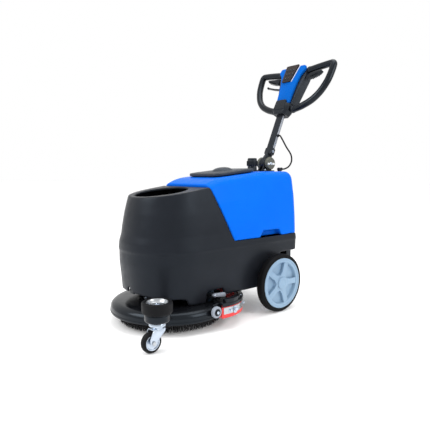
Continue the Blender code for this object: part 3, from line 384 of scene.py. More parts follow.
def tube_shape(points: Sequence[Vector], radius: float, sides: int = 24,
               squash: float = 1.0) -> bmesh.types.BMesh:
    """Sweep a round section along points and close it with domed ends.

    Args:
        points: the centre line.
        radius: radius of the section.
        sides: facets round the section.
        squash: thickness of the section across the line's own plane, as a share of its width.

    Returns:
        The shape.
    """
    rings: list[list[Vector]] = []
    first = (points[1] - points[0]).normalized()
    helper = Vector((0, 0, 1)) if abs(first.z) < 0.9 else Vector((1, 0, 0))
    across = first.cross(helper).normalized()
    last = len(points) - 1
    for i, point in enumerate(points):
        along = (points[min(i + 1, last)] - points[max(i - 1, 0)]).normalized()
        across = (across - along * across.dot(along)).normalized()
        third = along.cross(across)
        ends = ((-0.9, 0.45), (-0.5, 0.87)) if i == 0 else ()
        ends += ((0.0, 1.0),)
        ends += ((0.5, 0.87), (0.9, 0.45)) if i == last else ()
        for shift, share in ends:
            middle = point + along * (shift * radius * 0.25)
            rings.append([middle + (across * math.cos(math.tau * k / sides)
                                    + third * math.sin(math.tau * k / sides) * squash)
                          * radius * share for k in range(sides)])
    return skin_shape(rings)


def merged(shapes: Iterable[bmesh.types.BMesh]) -> bmesh.types.BMesh:
    """Gather several shapes into one."""
    whole = bmesh.new()
    for shape in shapes:
        scratch = bpy.data.meshes.new("scratch")
        bmesh.ops.recalc_face_normals(shape, faces=shape.faces)
        shape.to_mesh(scratch)
        shape.free()
        whole.from_mesh(scratch)
        bpy.data.meshes.remove(scratch)
    return whole


def carve(body: bmesh.types.BMesh, tools: Sequence[bmesh.types.BMesh],
          operation: str = "DIFFERENCE") -> bmesh.types.BMesh:
    """Run Boolean operations on a shape and return the result as a new shape."""
    holders = []
    for shape in (body, *tools):
        mesh = bpy.data.meshes.new("scratch")
        bmesh.ops.recalc_face_normals(shape, faces=shape.faces)
        shape.to_mesh(mesh)
        shape.free()
        holder = bpy.data.objects.new("scratch", mesh)
        bpy.context.scene.collection.objects.link(holder)
        holders.append(holder)
    for tool in holders[1:]:
        modifier = holders[0].modifiers.new("carve", "BOOLEAN")
        modifier.operation = operation
        modifier.solver = "EXACT"
        modifier.object = tool
    bpy.context.view_layer.update()
    graph = bpy.context.evaluated_depsgraph_get()
    result = bmesh.new()
    result.from_object(holders[0], graph)
    for holder in holders:
        mesh = holder.data
        bpy.data.objects.remove(holder, do_unlink=True)
        bpy.data.meshes.remove(mesh)
    return result


def softened(shape: bmesh.types.BMesh, cell: float, rounds: int) -> bmesh.types.BMesh:
    """Rebuild a shape with an even skin and rounded edges, as a moulding has.

    Args:
        shape: a closed shape.
        cell: size of the new skin's faces.
        rounds: smoothing passes.

    Returns:
        The new shape.
    """
    mesh = bpy.data.meshes.new("scratch")
    shape.to_mesh(mesh)
    shape.free()
    holder = bpy.data.objects.new("scratch", mesh)
    bpy.context.scene.collection.objects.link(holder)
    remesh = holder.modifiers.new("remesh", "REMESH")
    remesh.mode = "VOXEL"
    remesh.voxel_size = cell
    smooth = holder.modifiers.new("smooth", "SMOOTH")
    smooth.factor = 0.5
    smooth.iterations = rounds
    bpy.context.view_layer.update()
    result = bmesh.new()
    result.from_object(holder, bpy.context.evaluated_depsgraph_get())
    bpy.data.objects.remove(holder, do_unlink=True)
    bpy.data.meshes.remove(mesh)
    return result


@dataclass(frozen=True)
class Bench:
    """Turns shapes into finished pieces that ride one CAD body.

    Attributes:
        body: name of the CAD body.
        place: matrix from the shapes' coordinates to the row frame.
    """

    body: str
    place: Matrix = MACHINE

    def add(self, name: str, shape: bmesh.types.BMesh, finish: Finish,
            stands_for: Sequence[str] = (), crease: float = 32.0,
            bend: tuple[str, Vector, Vector] | None = None) -> bpy.types.Object:
        """Finish a shape as a piece.

        Args:
            name: name of the piece.
            shape: its shape, freed here.
            finish: its material.
            stands_for: CAD nodes that it replaces.
            crease: edges sharper than this many degrees stay sharp.
            bend: when given, the piece is baked into the row frame and attached to no body;
            the second body and the two points in it are not used.

        Returns:
            The piece.
        """
        shape.transform(self.place)
        bmesh.ops.recalc_face_normals(shape, faces=shape.faces)
        mesh = bpy.data.meshes.new(name)
        shape.to_mesh(mesh)
        shape.free()
        mesh.shade_smooth()
        mesh.set_sharp_from_angle(angle=math.radians(crease))
        mesh.materials.append(finish.material())
        piece = bpy.data.objects.new(name, mesh)
        bpy.context.scene.collection.objects.link(piece)
        if bend:
            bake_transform(piece)
        else:
            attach(piece, self.body)
        if stands_for:
            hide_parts(*stands_for)
        log.info("%s: %d faces on %s", name, len(mesh.polygons), self.body)
        return piece


def dress(finish: Finish, *nodes: str) -> None:
    """Give CAD nodes that stay in view a finish."""
    for node in nodes:
        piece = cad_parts[node]
        piece.data.materials.clear()
        piece.data.materials.append(finish.material())
        log.info("%s: kept from the CAD, in %s", node, finish.name)


def bolt_shape(place: Point, radius: float, height: float, axis: str = "Z",
               toward: int = 1) -> bmesh.types.BMesh:
    """Make a hexagon bolt head with a washer, standing on a face.

    Args:
        place: centre of the washer's foot.
        radius: across the head's corners, halved.
        height: height of the head.
        axis: the axis it stands along.
        toward: 1 or -1, the way it faces.

    Returns:
        The shape.
    """
    washer = turned_shape([(0.0, 0.0), (radius * 1.45, 0.0), (radius * 1.45, toward * 0.0009),
                           (radius * 1.30, toward * 0.0014), (0.0, toward * 0.0014)], axis, place,
                          20)
    head = turned_shape([(0.0, toward * 0.001), (radius, toward * 0.001),
                         (radius, toward * height * 0.85), (radius * 0.86, toward * height),
                         (0.0, toward * height)], axis, place, 6)
    return merged([washer, head])


# ------------------------------------------------------------------------------ studio


@dataclass(frozen=True)
class Studio:
    """Camera, floor and lights.

    Attributes:
        azimuth: the camera's turn about Z, in degrees.
        elevation: the camera's height angle, in degrees.
        eye: the camera's place, in machine coordinates.
        lens: focal length for a 36 mm sensor.
        backdrop: brightness of the surroundings.
    """

    azimuth: float = 50.43
    elevation: float = 5.45
    eye: tuple[float, float, float] = (1.560, -1.0435, 0.6135)
    lens: float = 37.67
    backdrop: float = 1.0

    def build(self) -> None:
        """Set up the camera, the floor, the lights and the surroundings."""
        data = bpy.data.cameras.new("camera")
        data.sensor_width = 36.0
        data.lens = self.lens
        camera = bpy.data.objects.new("camera", data)
        camera.location = MACHINE @ Vector(self.eye)
        camera.rotation_euler = (math.radians(90 - self.elevation), 0.0,
                                 math.radians(self.azimuth))
        bpy.context.scene.collection.objects.link(camera)
        bpy.context.scene.camera = camera
        self._floor()
        self._light("key", (-0.6, -2.6, 2.4), 1.8, 62.0)
        self._light("side", (2.6, 0.9, 1.7), 1.5, 30.0)
        self._light("top", (0.2, 0.4, 3.0), 2.2, 40.0)
        world = bpy.data.worlds.new("surroundings")
        world.use_nodes = True
        background = world.node_tree.nodes["Background"]
        background.inputs["Color"].default_value = (1.0, 1.0, 1.0, 1.0)
        background.inputs["Strength"].default_value = self.backdrop
        bpy.context.scene.world = world
        bpy.context.scene.view_settings.view_transform = "Standard"
        log.info("camera, floor and lights are set")

    def _floor(self) -> None:
        """Lay a plain pale floor."""
        shape = bmesh.new()
        half = 30.0
        shape.faces.new([shape.verts.new(corner) for corner in
                         ((-half, -half, -0.0006), (half, -half, -0.0006),
                          (half, half, -0.0006), (-half, half, -0.0006))])
        mesh = bpy.data.meshes.new("floor")
        shape.to_mesh(mesh)
        shape.free()
        material = bpy.data.materials.new("pale floor")
        material.use_nodes = True
        shader = material.node_tree.nodes["Principled BSDF"]
        shader.inputs["Base Color"].default_value = (0.93, 0.93, 0.93, 1.0)
        shader.inputs["Roughness"].default_value = 0.7
        shader.inputs["Emission Color"].default_value = (1.0, 1.0, 1.0, 1.0)
        shader.inputs["Emission Strength"].default_value = 0.09
        mesh.materials.append(material)
        floor = bpy.data.objects.new("floor", mesh)
        bpy.context.scene.collection.objects.link(floor)

    @staticmethod
    def _light(name: str, place: Point, size: float, power: float) -> None:
        """Add a soft square light that faces the machine's middle."""
        data = bpy.data.lights.new(name, "AREA")
        data.size = size
        data.energy = power
        light = bpy.data.objects.new(name, data)
        light.location = place
        aim = Vector((0.0, 0.0, 0.45)) - Vector(place)
        light.rotation_euler = aim.to_track_quat("-Z", "Y").to_euler()
        bpy.context.scene.collection.objects.link(light)


# ------------------------------------------------------------------------------ control cable


@dataclass(frozen=True)
class ControlCable:
    """The cable that loops from the column down to the foot of the pivot bracket.

    Attributes:
        radius: radius of the outer sheath.
        gland_u: height of the column's gland above the fold axis, along the column.
        gland_x: where the cable leaves the gland, off the column's middle plane.
        socket: where the cable enters its socket.
    """

    radius: float = 0.00375
    gland_u: float = 0.150
    gland_x: float = 0.0266
    socket: tuple[float, float, float] = (0.0925, 0.5853, 0.6275)

    def build(self) -> None:
        """Build the sheath, the gland on the column and the socket at the bracket."""
        start = Matrix.Rotation(-LEAN, 3, "X") @ Vector((self.gland_x, 0.0, self.gland_u)) + FOLD
        route = [start, start + Vector((0.012, 0.001, -0.004)), Vector((0.060, 0.650, 0.738)),
                 Vector((0.080, 0.662, 0.700)), Vector((0.090, 0.657, 0.668)),
                 Vector((0.0935, 0.635, 0.642)), Vector((0.0930, 0.606, 0.6295)),
                 Vector(self.socket)]
        points = smooth_line(route, 0.003)
        placed = [MACHINE @ point for point in points]
        cable = Bench("upper_tank").add("control_cable_sheath",
                                        tube_shape(points, self.radius, 20), RUBBER,
                                        ["control_cable"],
                                        bend=("handle", placed[-6], placed[4]))
        handle = Bench("handle", HANDLE)
        handle.add("cable_gland_body", merged([
            turned_shape([(0.0, 0.0200), (0.0085, 0.0200), (0.0085, 0.0236), (0.0, 0.0236)], "X",
                         (0, 0, self.gland_u), 6),
            turned_shape([(0.0, 0.0230), (0.0066, 0.0230), (0.0066, 0.0265), (0.0050, 0.0280),
                          (0.0, 0.0280)], "X", (0, 0, self.gland_u), 24)]),
            SATIN_BLACK, ["cable_gland"])
        x, y, z = self.socket
        Bench("upper_tank").add("cable_socket_body", merged([
            box_shape((x - 0.0060, y - 0.0253, 0.6173), (x + 0.0060, y - 0.0093, 0.6280), 0.0012),
            turned_shape([(0.0, y - 0.0263), (0.0075, y - 0.0263), (0.0075, y - 0.0080),
                          (0.0064, y - 0.0065), (0.0064, y - 0.0015), (0.0050, y - 0.0003),
                          (0.0, y - 0.0003)], "Y", (x, 0, z), 24),
            turned_shape([(0.0060, y - 0.0056), (0.0080, y - 0.0052), (0.0080, y - 0.0024),
                          (0.0060, y - 0.0020)], "Y", (x, 0, z), 24)]),
            SATIN_BLACK, ["cable_socket"])


# ------------------------------------------------------------------------------ lower body

SEAM_Z = 0.330
SLANT_LOW = (0.190, SEAM_Z)
SLANT_TOP = (0.084, 0.553)
RIM_FRONT = (-0.160, 0.516)
REAR_Y = 0.600
FLOOR_Z = 0.2003
WHEEL_Y = 0.420
WHEEL_Z = 0.128


@dataclass(frozen=True)
class LowerBody:
    """The black moulding: clean-water tank in front, open bay behind, skirt below.

    Attributes:
        stations: (height, half width, reach ahead of the brush's axis) of each level.
        bow: how far the sides draw in towards the rear.
        corner: radius of the rear corners in plan.
        arch: radius of the cut round each axle end.
        wall: thickness of the moulding.
        cell: size of the finished skin's faces.
    """

    stations: tuple[tuple[float, float, float], ...] = (
        (0.085, 0.190, 0.191), (0.186, 0.196, 0.199), (0.254, 0.200, 0.206),
        (0.300, 0.2010, 0.2060), (0.305, 0.2036, 0.2086), (0.338, 0.1975, 0.2060), (0.366, 0.193, 0.197),
        (0.400, 0.190, 0.192), (0.451, 0.184, 0.182), (0.500, 0.176, 0.169),
        (0.560, 0.165, 0.150))
    bow: float = 0.010
    corner: float = 0.034
    arch: float = 0.085
    wall: float = 0.0085
    cell: float = 0.0041

    def ring(self, height: float, half: float, front: float, inset: float = 0.0) -> list[Point]:
        """Return one level's outline, drawn in by an inset."""
        power = 2 / 2.2
        points = []
        for k in range(61):
            angle = math.pi * k / 60
            cosine, sine = math.cos(angle), math.sin(angle)
            x = (half - inset) * math.copysign(abs(cosine) ** power, cosine)
            points.append((x, 0.02 - (front - inset + 0.02) * abs(sine) ** power))
        tail = half - inset - self.bow
        side = [(half - inset - self.bow * ((y - 0.10) / 0.46) ** 2, y)
                for y in (0.10, 0.16, 0.22, 0.28, 0.34, 0.40, 0.46, 0.52)]
        side += arc((tail - self.corner, REAR_Y - inset - self.corner), self.corner, 0, 90, 8)
        points += [(-x, y) for x, y in side] + side[::-1]
        return [(x, y, height) for x, y in points]

    def space(self, low: float, high: float, inset: float,
              outline: Profile) -> bmesh.types.BMesh:
        """Return the inside between two heights, kept within an outline of (Y, Z)."""
        levels = [low] + [s[0] for s in self.stations if low < s[0] < high] + [high]
        rings = []
        for height in levels:
            below = max((s for s in self.stations if s[0] <= height), default=self.stations[0])
            above = min((s for s in self.stations if s[0] >= height), default=self.stations[-1])
            span = above[0] - below[0]
            share = (height - below[0]) / span if span > 0 else 0.0
            half = below[1] + (above[1] - below[1]) * share
            front = below[2] + (above[2] - below[2]) * share
            rings.append(self.ring(height, half, front, inset))
        return carve(skin_shape(rings), [slab_shape(outline, (-0.3, 0.3))], "INTERSECT")

    def build(self) -> None:
        """Build the moulding and the fittings on it."""
        body = skin_shape([self.ring(*station) for station in self.stations])
        slope = (SLANT_TOP[1] - RIM_FRONT[1]) / (SLANT_TOP[0] - RIM_FRONT[0])
        front_rim = RIM_FRONT[1] + slope * (-0.30 - RIM_FRONT[0])
        above = slab_shape([SLANT_LOW, SLANT_TOP, (-0.30, front_rim), (-0.30, 0.70), (0.70, 0.70),
                            (0.70, SEAM_Z)], (-0.3, 0.3))
        below = slab_shape(
            [(-0.30, 0.0), (-0.30, 0.150), (-0.200, 0.144), (-0.160, 0.134), (-0.106, 0.127),
             (-0.052, 0.122), (-0.046, 0.118), (-0.038, 0.0985), (0.041, 0.0965), (0.046, 0.110),
             (0.049, 0.142), (0.128, 0.142), (0.138, 0.111)]
            + arc((WHEEL_Y, WHEEL_Z), self.arch, 191.5, 62.0, 20)
            + [(0.473, 0.252), (0.70, 0.252), (0.70, 0.0)], (-0.3, 0.3))
        wall = self.wall
        skirt = self.space(0.05, FLOOR_Z, wall, [(-0.3, 0.0), (0.480, 0.0), (0.480, 0.3),
                                                 (-0.3, 0.3)])
        bay = self.space(FLOOR_Z - 0.01, 0.40, wall + 0.001, [
            (0.168, FLOOR_Z - 0.01), (0.455, FLOOR_Z - 0.01), (0.455, 0.260), (0.70, 0.260),
            (0.70, 0.42), (0.168, 0.42)])
        water = self.space(FLOOR_Z + wall, 0.56, wall + 0.0006, [
            (-0.3, FLOOR_Z + wall), (0.158, FLOOR_Z + wall), (0.158, 0.372),
            (SLANT_TOP[0] - 0.006, SLANT_TOP[1] - 0.012), (-0.3, front_rim - wall)])
        mouth = skin_shape([[(0.118 * math.cos(t), -0.038 + 0.107 * math.copysign(
            abs(math.sin(t)) ** 1.15, math.sin(t)), z) for t in
            [math.tau * k / 96 for k in range(96)]] for z in (0.45, 0.62)])
        notch = turned_shape([(0.0, -0.25), (0.012, -0.25), (0.012, -0.15), (0.0, -0.15)], "Y",
                             (0.005, 0.0, 0.150), 24)
        shape = carve(body, [above, below, skirt, bay, water, mouth, notch])
        Bench("chassis").add("lower_body", softened(shape, self.cell, 3), CHARCOAL,
                             ["solution_tank"], 60)
        Bench("chassis").add("notch_plug", box_shape((-0.010, -0.1860, 0.1340),
                                                     (0.020, -0.1780, 0.1660), 0.001),
                             SATIN_BLACK)
        self._strainer()
        self._bay()

    def _strainer(self) -> None:
        """Build the strainer basket inside the filling mouth."""
        bench = Bench("chassis")
        slots = [slab_shape(box_outline((-0.055 + 0.0275 * i, -0.090), (-0.043 + 0.0275 * i, 0.010),
                                        0.005, 3), (0.470, 0.490), "Z") for i in range(5)]
        basket = carve(turned_shape(rounded([(0.0, 0.478), (0.072, 0.478), (0.078, 0.500),
                                             (0.082, 0.500), (0.0755, 0.475), (0.0, 0.475)],
                                            0.001, 2, False), "Z", (0, -0.040, 0), 64), slots)
        bench.add("strainer_basket", basket, SATIN_BLACK)

    def _bay(self) -> None:
        """Build what stands in the bay: batteries, terminals, their link and the vacuum motor."""
        bench = Bench("chassis")
        top = FLOOR_Z + 0.115
        for side, name in ((1, "left"), (-1, "right")):
            low, high = sorted((side * 0.004, side * 0.146))
            case = box_shape((low, 0.184, FLOOR_Z), (high, 0.384, top - 0.018), 0.003)
            lid = box_shape((low + 0.001, 0.185, top - 0.0185), (high - 0.001, 0.383, top - 0.002),
                            0.002)
            ribs = [box_shape((low + 0.006, y, top - 0.003), (high - 0.006, y + 0.004, top - 0.0005),
                              0.0006) for y in (0.225, 0.255, 0.285, 0.315, 0.345)]
            bench.add(f"battery_case_{name}", merged([case, lid, *ribs]), DARK_CASE,
                      [f"battery_{name}"])
            posts = [turned_shape([(0.0, top - 0.004), (0.008, top - 0.004), (0.007, top + 0.0035),
                                   (0.0, top + 0.0035)], "Z", (side * x, 0.200, 0), 20)
                     for x in (0.030, 0.118)]
            bench.add(f"battery_terminals_{name}", merged(posts), ZINC)
        bench.add("battery_link", box_shape((-0.036, 0.193, top + 0.0025), (0.036, 0.207,
                                                                           top + 0.0055), 0.001),
                  ZINC)
        motor = [(0.0, 0.2585), (0.0445, 0.2585), (0.046, 0.2600), (0.046, 0.2720),
                 (0.0435, 0.2730), (0.0435, 0.2760), (0.046, 0.2770), (0.046, 0.2920),
                 (0.0445, 0.2945), (0.030, 0.2980), (0.030, 0.3200), (0.0285, 0.3215),
                 (0.0, 0.3215)]
        bench.add("vacuum_motor_case", turned_shape(motor, "Z", (0, 0.530, 0), 64), BLACK_METAL,
                  ["vacuum_motor"])


# ------------------------------------------------------------------------------ upper tank


@dataclass(frozen=True)
class UpperTank:
    """The blue dirty-water tank, with its pocket, lid opening and hand-holds.

    Attributes:
        shoulder: radius of the long top edges.
        wall: thickness of the moulding.
        cell: size of the finished skin's faces.
    """

    shoulder: float = 0.040
    wall: float = 0.0085
    cell: float = 0.0041

    @staticmethod
    def top(y: float) -> float:
        """Return the height of the top on the middle plane."""
        if y < 0.167:
            ahead = 0.167 - y
            return 0.590 - 0.105 * ahead - 2.6 * ahead ** 2
        return min(0.617, 0.590 + 0.105 * (min(y, 0.400) - 0.167) + 0.06 * max(0.0, y - 0.400))

    def section(self, y: float, inset: float = 0.0, floor: float = SEAM_Z + 0.0003
                ) -> list[Point]:
        """Return one cross section of the tank."""
        corner = 0.034
        reach = max(0.0, y - (REAR_Y - corner))
        drawn = corner - math.sqrt(max(0.0, corner ** 2 - reach ** 2))
        base = 0.1975 - 0.010 * max(0.0, (y - 0.10) / 0.46) ** 2 - drawn - inset
        top = self.top(y) - drawn * 0.8 - inset
        shoulder = 0.168 - 0.006 * max(0.0, (y - 0.10) / 0.46) - drawn - inset
        half = [(base, floor),
                (base * 0.72 + shoulder * 0.28 + 0.003, floor + 0.30 * (top - floor)),
                (base * 0.38 + shoulder * 0.62 + 0.003, floor + 0.62 * (top - floor))]
        half += arc((shoulder - self.shoulder, top - self.shoulder), self.shoulder, 8, 90, 14)
        half.append((0.060, top))
        return [(x, y, z) for x, z in half] + [(-x, y, z) for x, z in half[::-1]]

    def build(self) -> None:
        """Build the tank."""
        stations = [0.040, 0.062, 0.084, 0.105, 0.125, 0.146, 0.167, 0.240, 0.320, 0.400, 0.480,
                    0.540, 0.566, 0.574, 0.582, 0.588, 0.593, 0.5965, 0.5985, 0.5996]
        body = skin_shape([self.section(y) for y in stations])
        ahead = slab_shape([(-0.1, 0.2), (0.2103, 0.2), (0.2103, SEAM_Z - 0.01),
                            (0.1908, SEAM_Z), (0.0848, 0.5534), (0.0648, 0.70), (-0.1, 0.70)],
                           (-0.3, 0.3))
        wall = self.wall
        inside = skin_shape([self.section(y, wall, 0.374) for y in stations if y < 0.57]
                            + [self.section(0.590, wall, 0.374)])
        inside = carve(inside, [slab_shape([(0.180, 0.374), (0.0935, 0.5534), (0.0735, 0.70),
                                            (0.70, 0.70), (0.70, 0.374)], (-0.3, 0.3))],
                       "INTERSECT")
        pocket = box_shape((-0.148, 0.205, 0.30), (0.148, 0.556, 0.366))
        opening = slab_shape(box_outline((-0.086, 0.192), (0.086, 0.376), 0.03), (0.55, 0.66), "Z")
        holds = []
        for side in (-1, 1):
            outline = [(0.336, 0.31), (0.341, 0.329), (0.361, 0.358), (0.466, 0.358),
                       (0.482, 0.329), (0.487, 0.31)]
            holds.append(slab_shape(outline, tuple(sorted((side * 0.160, side * 0.25)))))
        shape = carve(body, [ahead, inside, pocket, opening, *holds])
        Bench("upper_tank").add("dirty_water_tank", softened(shape, self.cell, 3), BLUE,
                                ["recovery_tank"], 60)
        self._fittings()

    def _fittings(self) -> None:
        """Build the suction stack inside the tank."""
        bench = Bench("upper_tank")
        stack = turned_shape(rounded([(0.0165, 0.372), (0.0215, 0.372), (0.0215, 0.560),
                                      (0.0240, 0.5635), (0.0240, 0.5665), (0.0165, 0.5665)],
                                     0.001, 2), "Z", (0, 0.420, 0), 40)
        bench.add("suction_stack", stack, SATIN_BLACK)


def along_top(shape: bmesh.types.BMesh) -> bmesh.types.BMesh:
    """Shear a level shape so that it lies along the tank's sloping top."""
    for vertex in shape.verts:
        vertex.co.z += 0.105 * (vertex.co.y - 0.167)
    return shape


@dataclass(frozen=True)
class Lid:
    """The hinged charcoal lid with its dome, seal and float.

    Attributes:
        front: the lid's front edge.
        rear: the lid's rear edge, where it hinges.
        half: half its width.
        low: height of its underside at the front edge.
        thick: thickness of the slab.
    """

    front: float = 0.167
    rear: float = 0.400
    half: float = 0.110
    low: float = 0.5936
    thick: float = 0.013

    def build(self) -> None:
        """Build the lid, the dome, the seal, the float cage and the ball."""
        bench = Bench("lid")
        outline = box_outline((-self.half, self.front), (self.half, self.rear), 0.045, 10)
        slab = slab_shape(outline, (self.low, self.low + self.thick), "Z", 0.004, 4)
        lip = slab_shape(box_outline((-self.half + 0.014, self.front + 0.014),
                                     (self.half - 0.014, self.rear - 0.014), 0.036, 10),
                         (self.low + self.thick - 0.002, self.low + self.thick + 0.0012), "Z",
                         0.0011, 2)
        bench.add("lid_slab", along_top(merged([slab, lip])), CHARCOAL_SMOOTH, ["tank_lid"])
        seal = carve(slab_shape(box_outline((-0.100, 0.178), (0.100, 0.389), 0.038, 8),
                                (0.5903, 0.5934), "Z", 0.0008, 2),
                     [slab_shape(box_outline((-0.091, 0.187), (0.091, 0.380), 0.033, 8),
                                 (0.57, 0.62), "Z")])
        bench.add("lid_gasket", along_top(seal), RUBBER, ["lid_seal"])
        dome_y = 0.288
        base = self.low + self.thick + 0.105 * (dome_y - self.front)
        dome = turned_shape(rounded([(0.0, 0.0165), (0.017, 0.0155), (0.032, 0.0120),
                                     (0.0435, 0.0065), (0.0475, 0.0028), (0.0505, 0.0018),
                                     (0.0505, 0.0003), (0.0, 0.0003)], 0.004, 4, False), "Z",
                            (0, 0, 0), 96)
        dome.transform(Matrix.Translation((0, dome_y, base)) @ Matrix.Rotation(
            math.atan(0.105), 4, "X"))
        bench.add("lid_dome_cover", dome, CHARCOAL_SMOOTH, ["lid_dome"])
        dress(SATIN_BLACK, "float_cage")
        dress(RED_BALL, "float_ball")
        axis_z = self.low + 0.105 * (self.rear - self.front)
        hinge = [turned_shape([(0.0, x - 0.017), (0.0033, x - 0.017), (0.0033, x + 0.017),
                               (0.0, x + 0.017)], "X", (0, self.rear, axis_z), 20)
                 for x in (-0.06, 0.06)]
        bench.add("lid_hinge_knuckles", merged(hinge), CHARCOAL_SMOOTH)


@dataclass(frozen=True)
class Port:
    """The knurled screw port behind the lid.

    Attributes:
        place: centre of its foot on the tank's top.
        ribs: number of grip ribs round the cap.
    """

    place: tuple[float, float, float] = (0.0, 0.477, 0.617)
    ribs: int = 28

    def build(self) -> None:
        """Build the collar and the cap."""
        collar = rounded([(0.014, 0.0003), (0.031, 0.0003), (0.031, 0.0050), (0.0225, 0.0068),
                          (0.0215, 0.024), (0.014, 0.024)], 0.0008, 2)
        Bench("upper_tank").add("port_ring", turned_shape(collar, "Z", self.place, 64),
                                SATIN_BLACK, ["port_collar"])
        core = [(0.0, 0.0245), (0.0235, 0.0245), (0.0250, 0.0262), (0.0252, 0.0300),
                (0.0252, 0.0480), (0.0245, 0.0500), (0.0222, 0.0515), (0.0222, 0.0590),
                (0.0205, 0.0620), (0.0170, 0.0630), (0.0150, 0.0605), (0.0, 0.0600)]
        shapes = [turned_shape(rounded(core, 0.0008, 2, False), "Z", self.place, 64)]
        for k in range(self.ribs):
            rib = box_shape((0.0240, -0.0014, 0.0275), (0.0266, 0.0014, 0.0490), 0.0009)
            rib.transform(Matrix.Translation(self.place) @ Matrix.Rotation(
                math.tau * k / self.ribs, 4, "Z"))
            shapes.append(rib)
        bar = box_shape((-0.0150, -0.0032, 0.0590), (0.0150, 0.0032, 0.0628), 0.0012)
        bar.transform(Matrix.Translation(self.place))
        shapes.append(bar)
        Bench("port").add("port_knob", merged(shapes), SATIN_BLACK, ["port_cap"])


# ------------------------------------------------------------------------------ brush deck


@dataclass(frozen=True)
class BrushDeck:
    """The round deck cover, its motor and the turning brush.

    Attributes:
        radius: radius of the cover.
        top: height of its flat top.
        low: height of its lower edge.
        brush: radius of the bristle pack.
        tufts: number of tufts in the outer row.
        rows: rows of tufts.
        seed: start of the bristles' random lean.
    """

    radius: float = 0.248
    top: float = 0.096
    low: float = 0.044
    brush: float = 0.215
    tufts: int = 100
    rows: int = 3
    seed: int = 7

    def build(self) -> None:
        """Build the cover, its bolts, the motor, the brush's block and its bristles."""
        fixed = Bench("chassis")
        outside = [(0.020, self.top), (0.200, 0.0945), (0.226, 0.0905), (0.241, 0.0815),
                   (self.radius, 0.069), (self.radius, 0.0475), (self.radius - 0.0015, self.low)]
        inside = [(0.2415, self.low), (0.2415, 0.067), (0.235, 0.0770), (0.222, 0.0845),
                  (0.198, 0.0885), (0.020, 0.0900)]
        cover = turned_shape(rounded(outside + inside, 0.010, 6), "Z", (0, 0, 0), 160)
        fixed.add("deck_cover", cover, GLOSS_BLACK, ["brush_deck"], 50)
        band = turned_shape(rounded([(0.2478, 0.0478), (0.2492, 0.0478), (0.2492, 0.0542),
                                     (0.2478, 0.0542)], 0.0006, 2), "Z", (0, 0, 0), 160)
        fixed.add("deck_edge_bead", band, GLOSS_BLACK)
        bolts = [bolt_shape((0.105 * math.cos(math.tau * k / 6 + 0.3),
                             0.105 * math.sin(math.tau * k / 6 + 0.3), 0.0959), 0.0065, 0.006)
                 for k in range(6)]
        fixed.add("deck_bolts", merged(bolts), ZINC)
        motor = rounded([(0.0, 0.0964), (0.0600, 0.0964), (0.0600, 0.1060), (0.0540, 0.1100),
                         (0.0540, 0.1800), (0.0480, 0.1875), (0.0, 0.1875)], 0.003, 3, False)
        fins = []
        for k in range(24):
            fin = box_shape((0.0530, -0.0010, 0.1180), (0.0568, 0.0010, 0.1720), 0.0004)
            fin.transform(Matrix.Rotation(math.tau * k / 24, 4, "Z"))
            fins.append(fin)
        fixed.add("brush_motor_case", merged([turned_shape(motor, "Z", (0, 0, 0), 64), *fins]),
                  BLACK_METAL, ["brush_motor"])
        turning = Bench("brush")
        dress(STEEL, "drive_plate")
        block = rounded([(0.030, 0.030), (self.brush - 0.006, 0.030), (self.brush - 0.006, 0.0485),
                         (self.brush - 0.009, 0.0500), (0.030, 0.0500)], 0.001, 2)
        turning.add("brush_back", turned_shape(block, "Z", (0, 0, 0), 120), DARK_CASE,
                    ["brush_block"])
        turning.add("bristle_tufts", self._bristles(), BRISTLE, ["bristle_ring"], 60)

    def _bristles(self) -> bmesh.types.BMesh:
        """Return every tuft as a fan of tapered strands."""
        chance = random.Random(self.seed)
        shape = bmesh.new()
        for row in range(self.rows):
            middle = self.brush - 0.0125 - row * 0.017
            count = round(self.tufts * middle / (self.brush - 0.0125))
            for k in range(count):
                turn = math.tau * (k + 0.5 * (row % 2)) / count
                foot = Vector((middle * math.cos(turn), middle * math.sin(turn), 0.0302))
                for _ in range(15 if row == 0 else 9):
                    self._strand(shape, foot, turn, chance)
        return shape

    @staticmethod
    def _strand(shape: bmesh.types.BMesh, foot: Vector, turn: float,
                chance: random.Random) -> None:
        """Add one tapered strand that leans a little out of its tuft's hole."""
        out = Vector((math.cos(turn), math.sin(turn), 0.0))
        side = Vector((-math.sin(turn), math.cos(turn), 0.0))
        a, b = chance.uniform(-1, 1), chance.uniform(-1, 1)
        start = foot + out * a * 0.0022 + side * b * 0.0022
        reach = 0.0245 + chance.uniform(-0.0022, 0.0022)
        tip = start + out * (a * 0.0042 + 0.0018) + side * b * 0.0046 - Vector((0, 0, reach))
        tip.z = max(tip.z, 0.0032)
        rings = []
        for share, width in ((0.0, 0.00095), (0.55, 0.0009), (1.0, 0.0006)):
            middle = start.lerp(tip, share) + out * 0.0006 * math.sin(math.pi * share)
            rings.append([shape.verts.new(middle + (out * math.cos(t) + side * math.sin(t)) * width)
                          for t in (0.4, 2.0, 3.5, 5.1)])
        for lower, upper in zip(rings, rings[1:]):
            for i in range(4):
                j = (i + 1) % 4
                shape.faces.new((lower[i], lower[j], upper[j], upper[i]))
        shape.faces.new(rings[0])
        shape.faces.new(rings[-1])


# ------------------------------------------------------------------------------ wheels


class Side(Enum):
    """A side of the machine; the value is the sign of X."""

    LEFT = 1
    RIGHT = -1

    @property
    def word(self) -> str:
        """Return the side's name in lower case."""
        return self.name.lower()


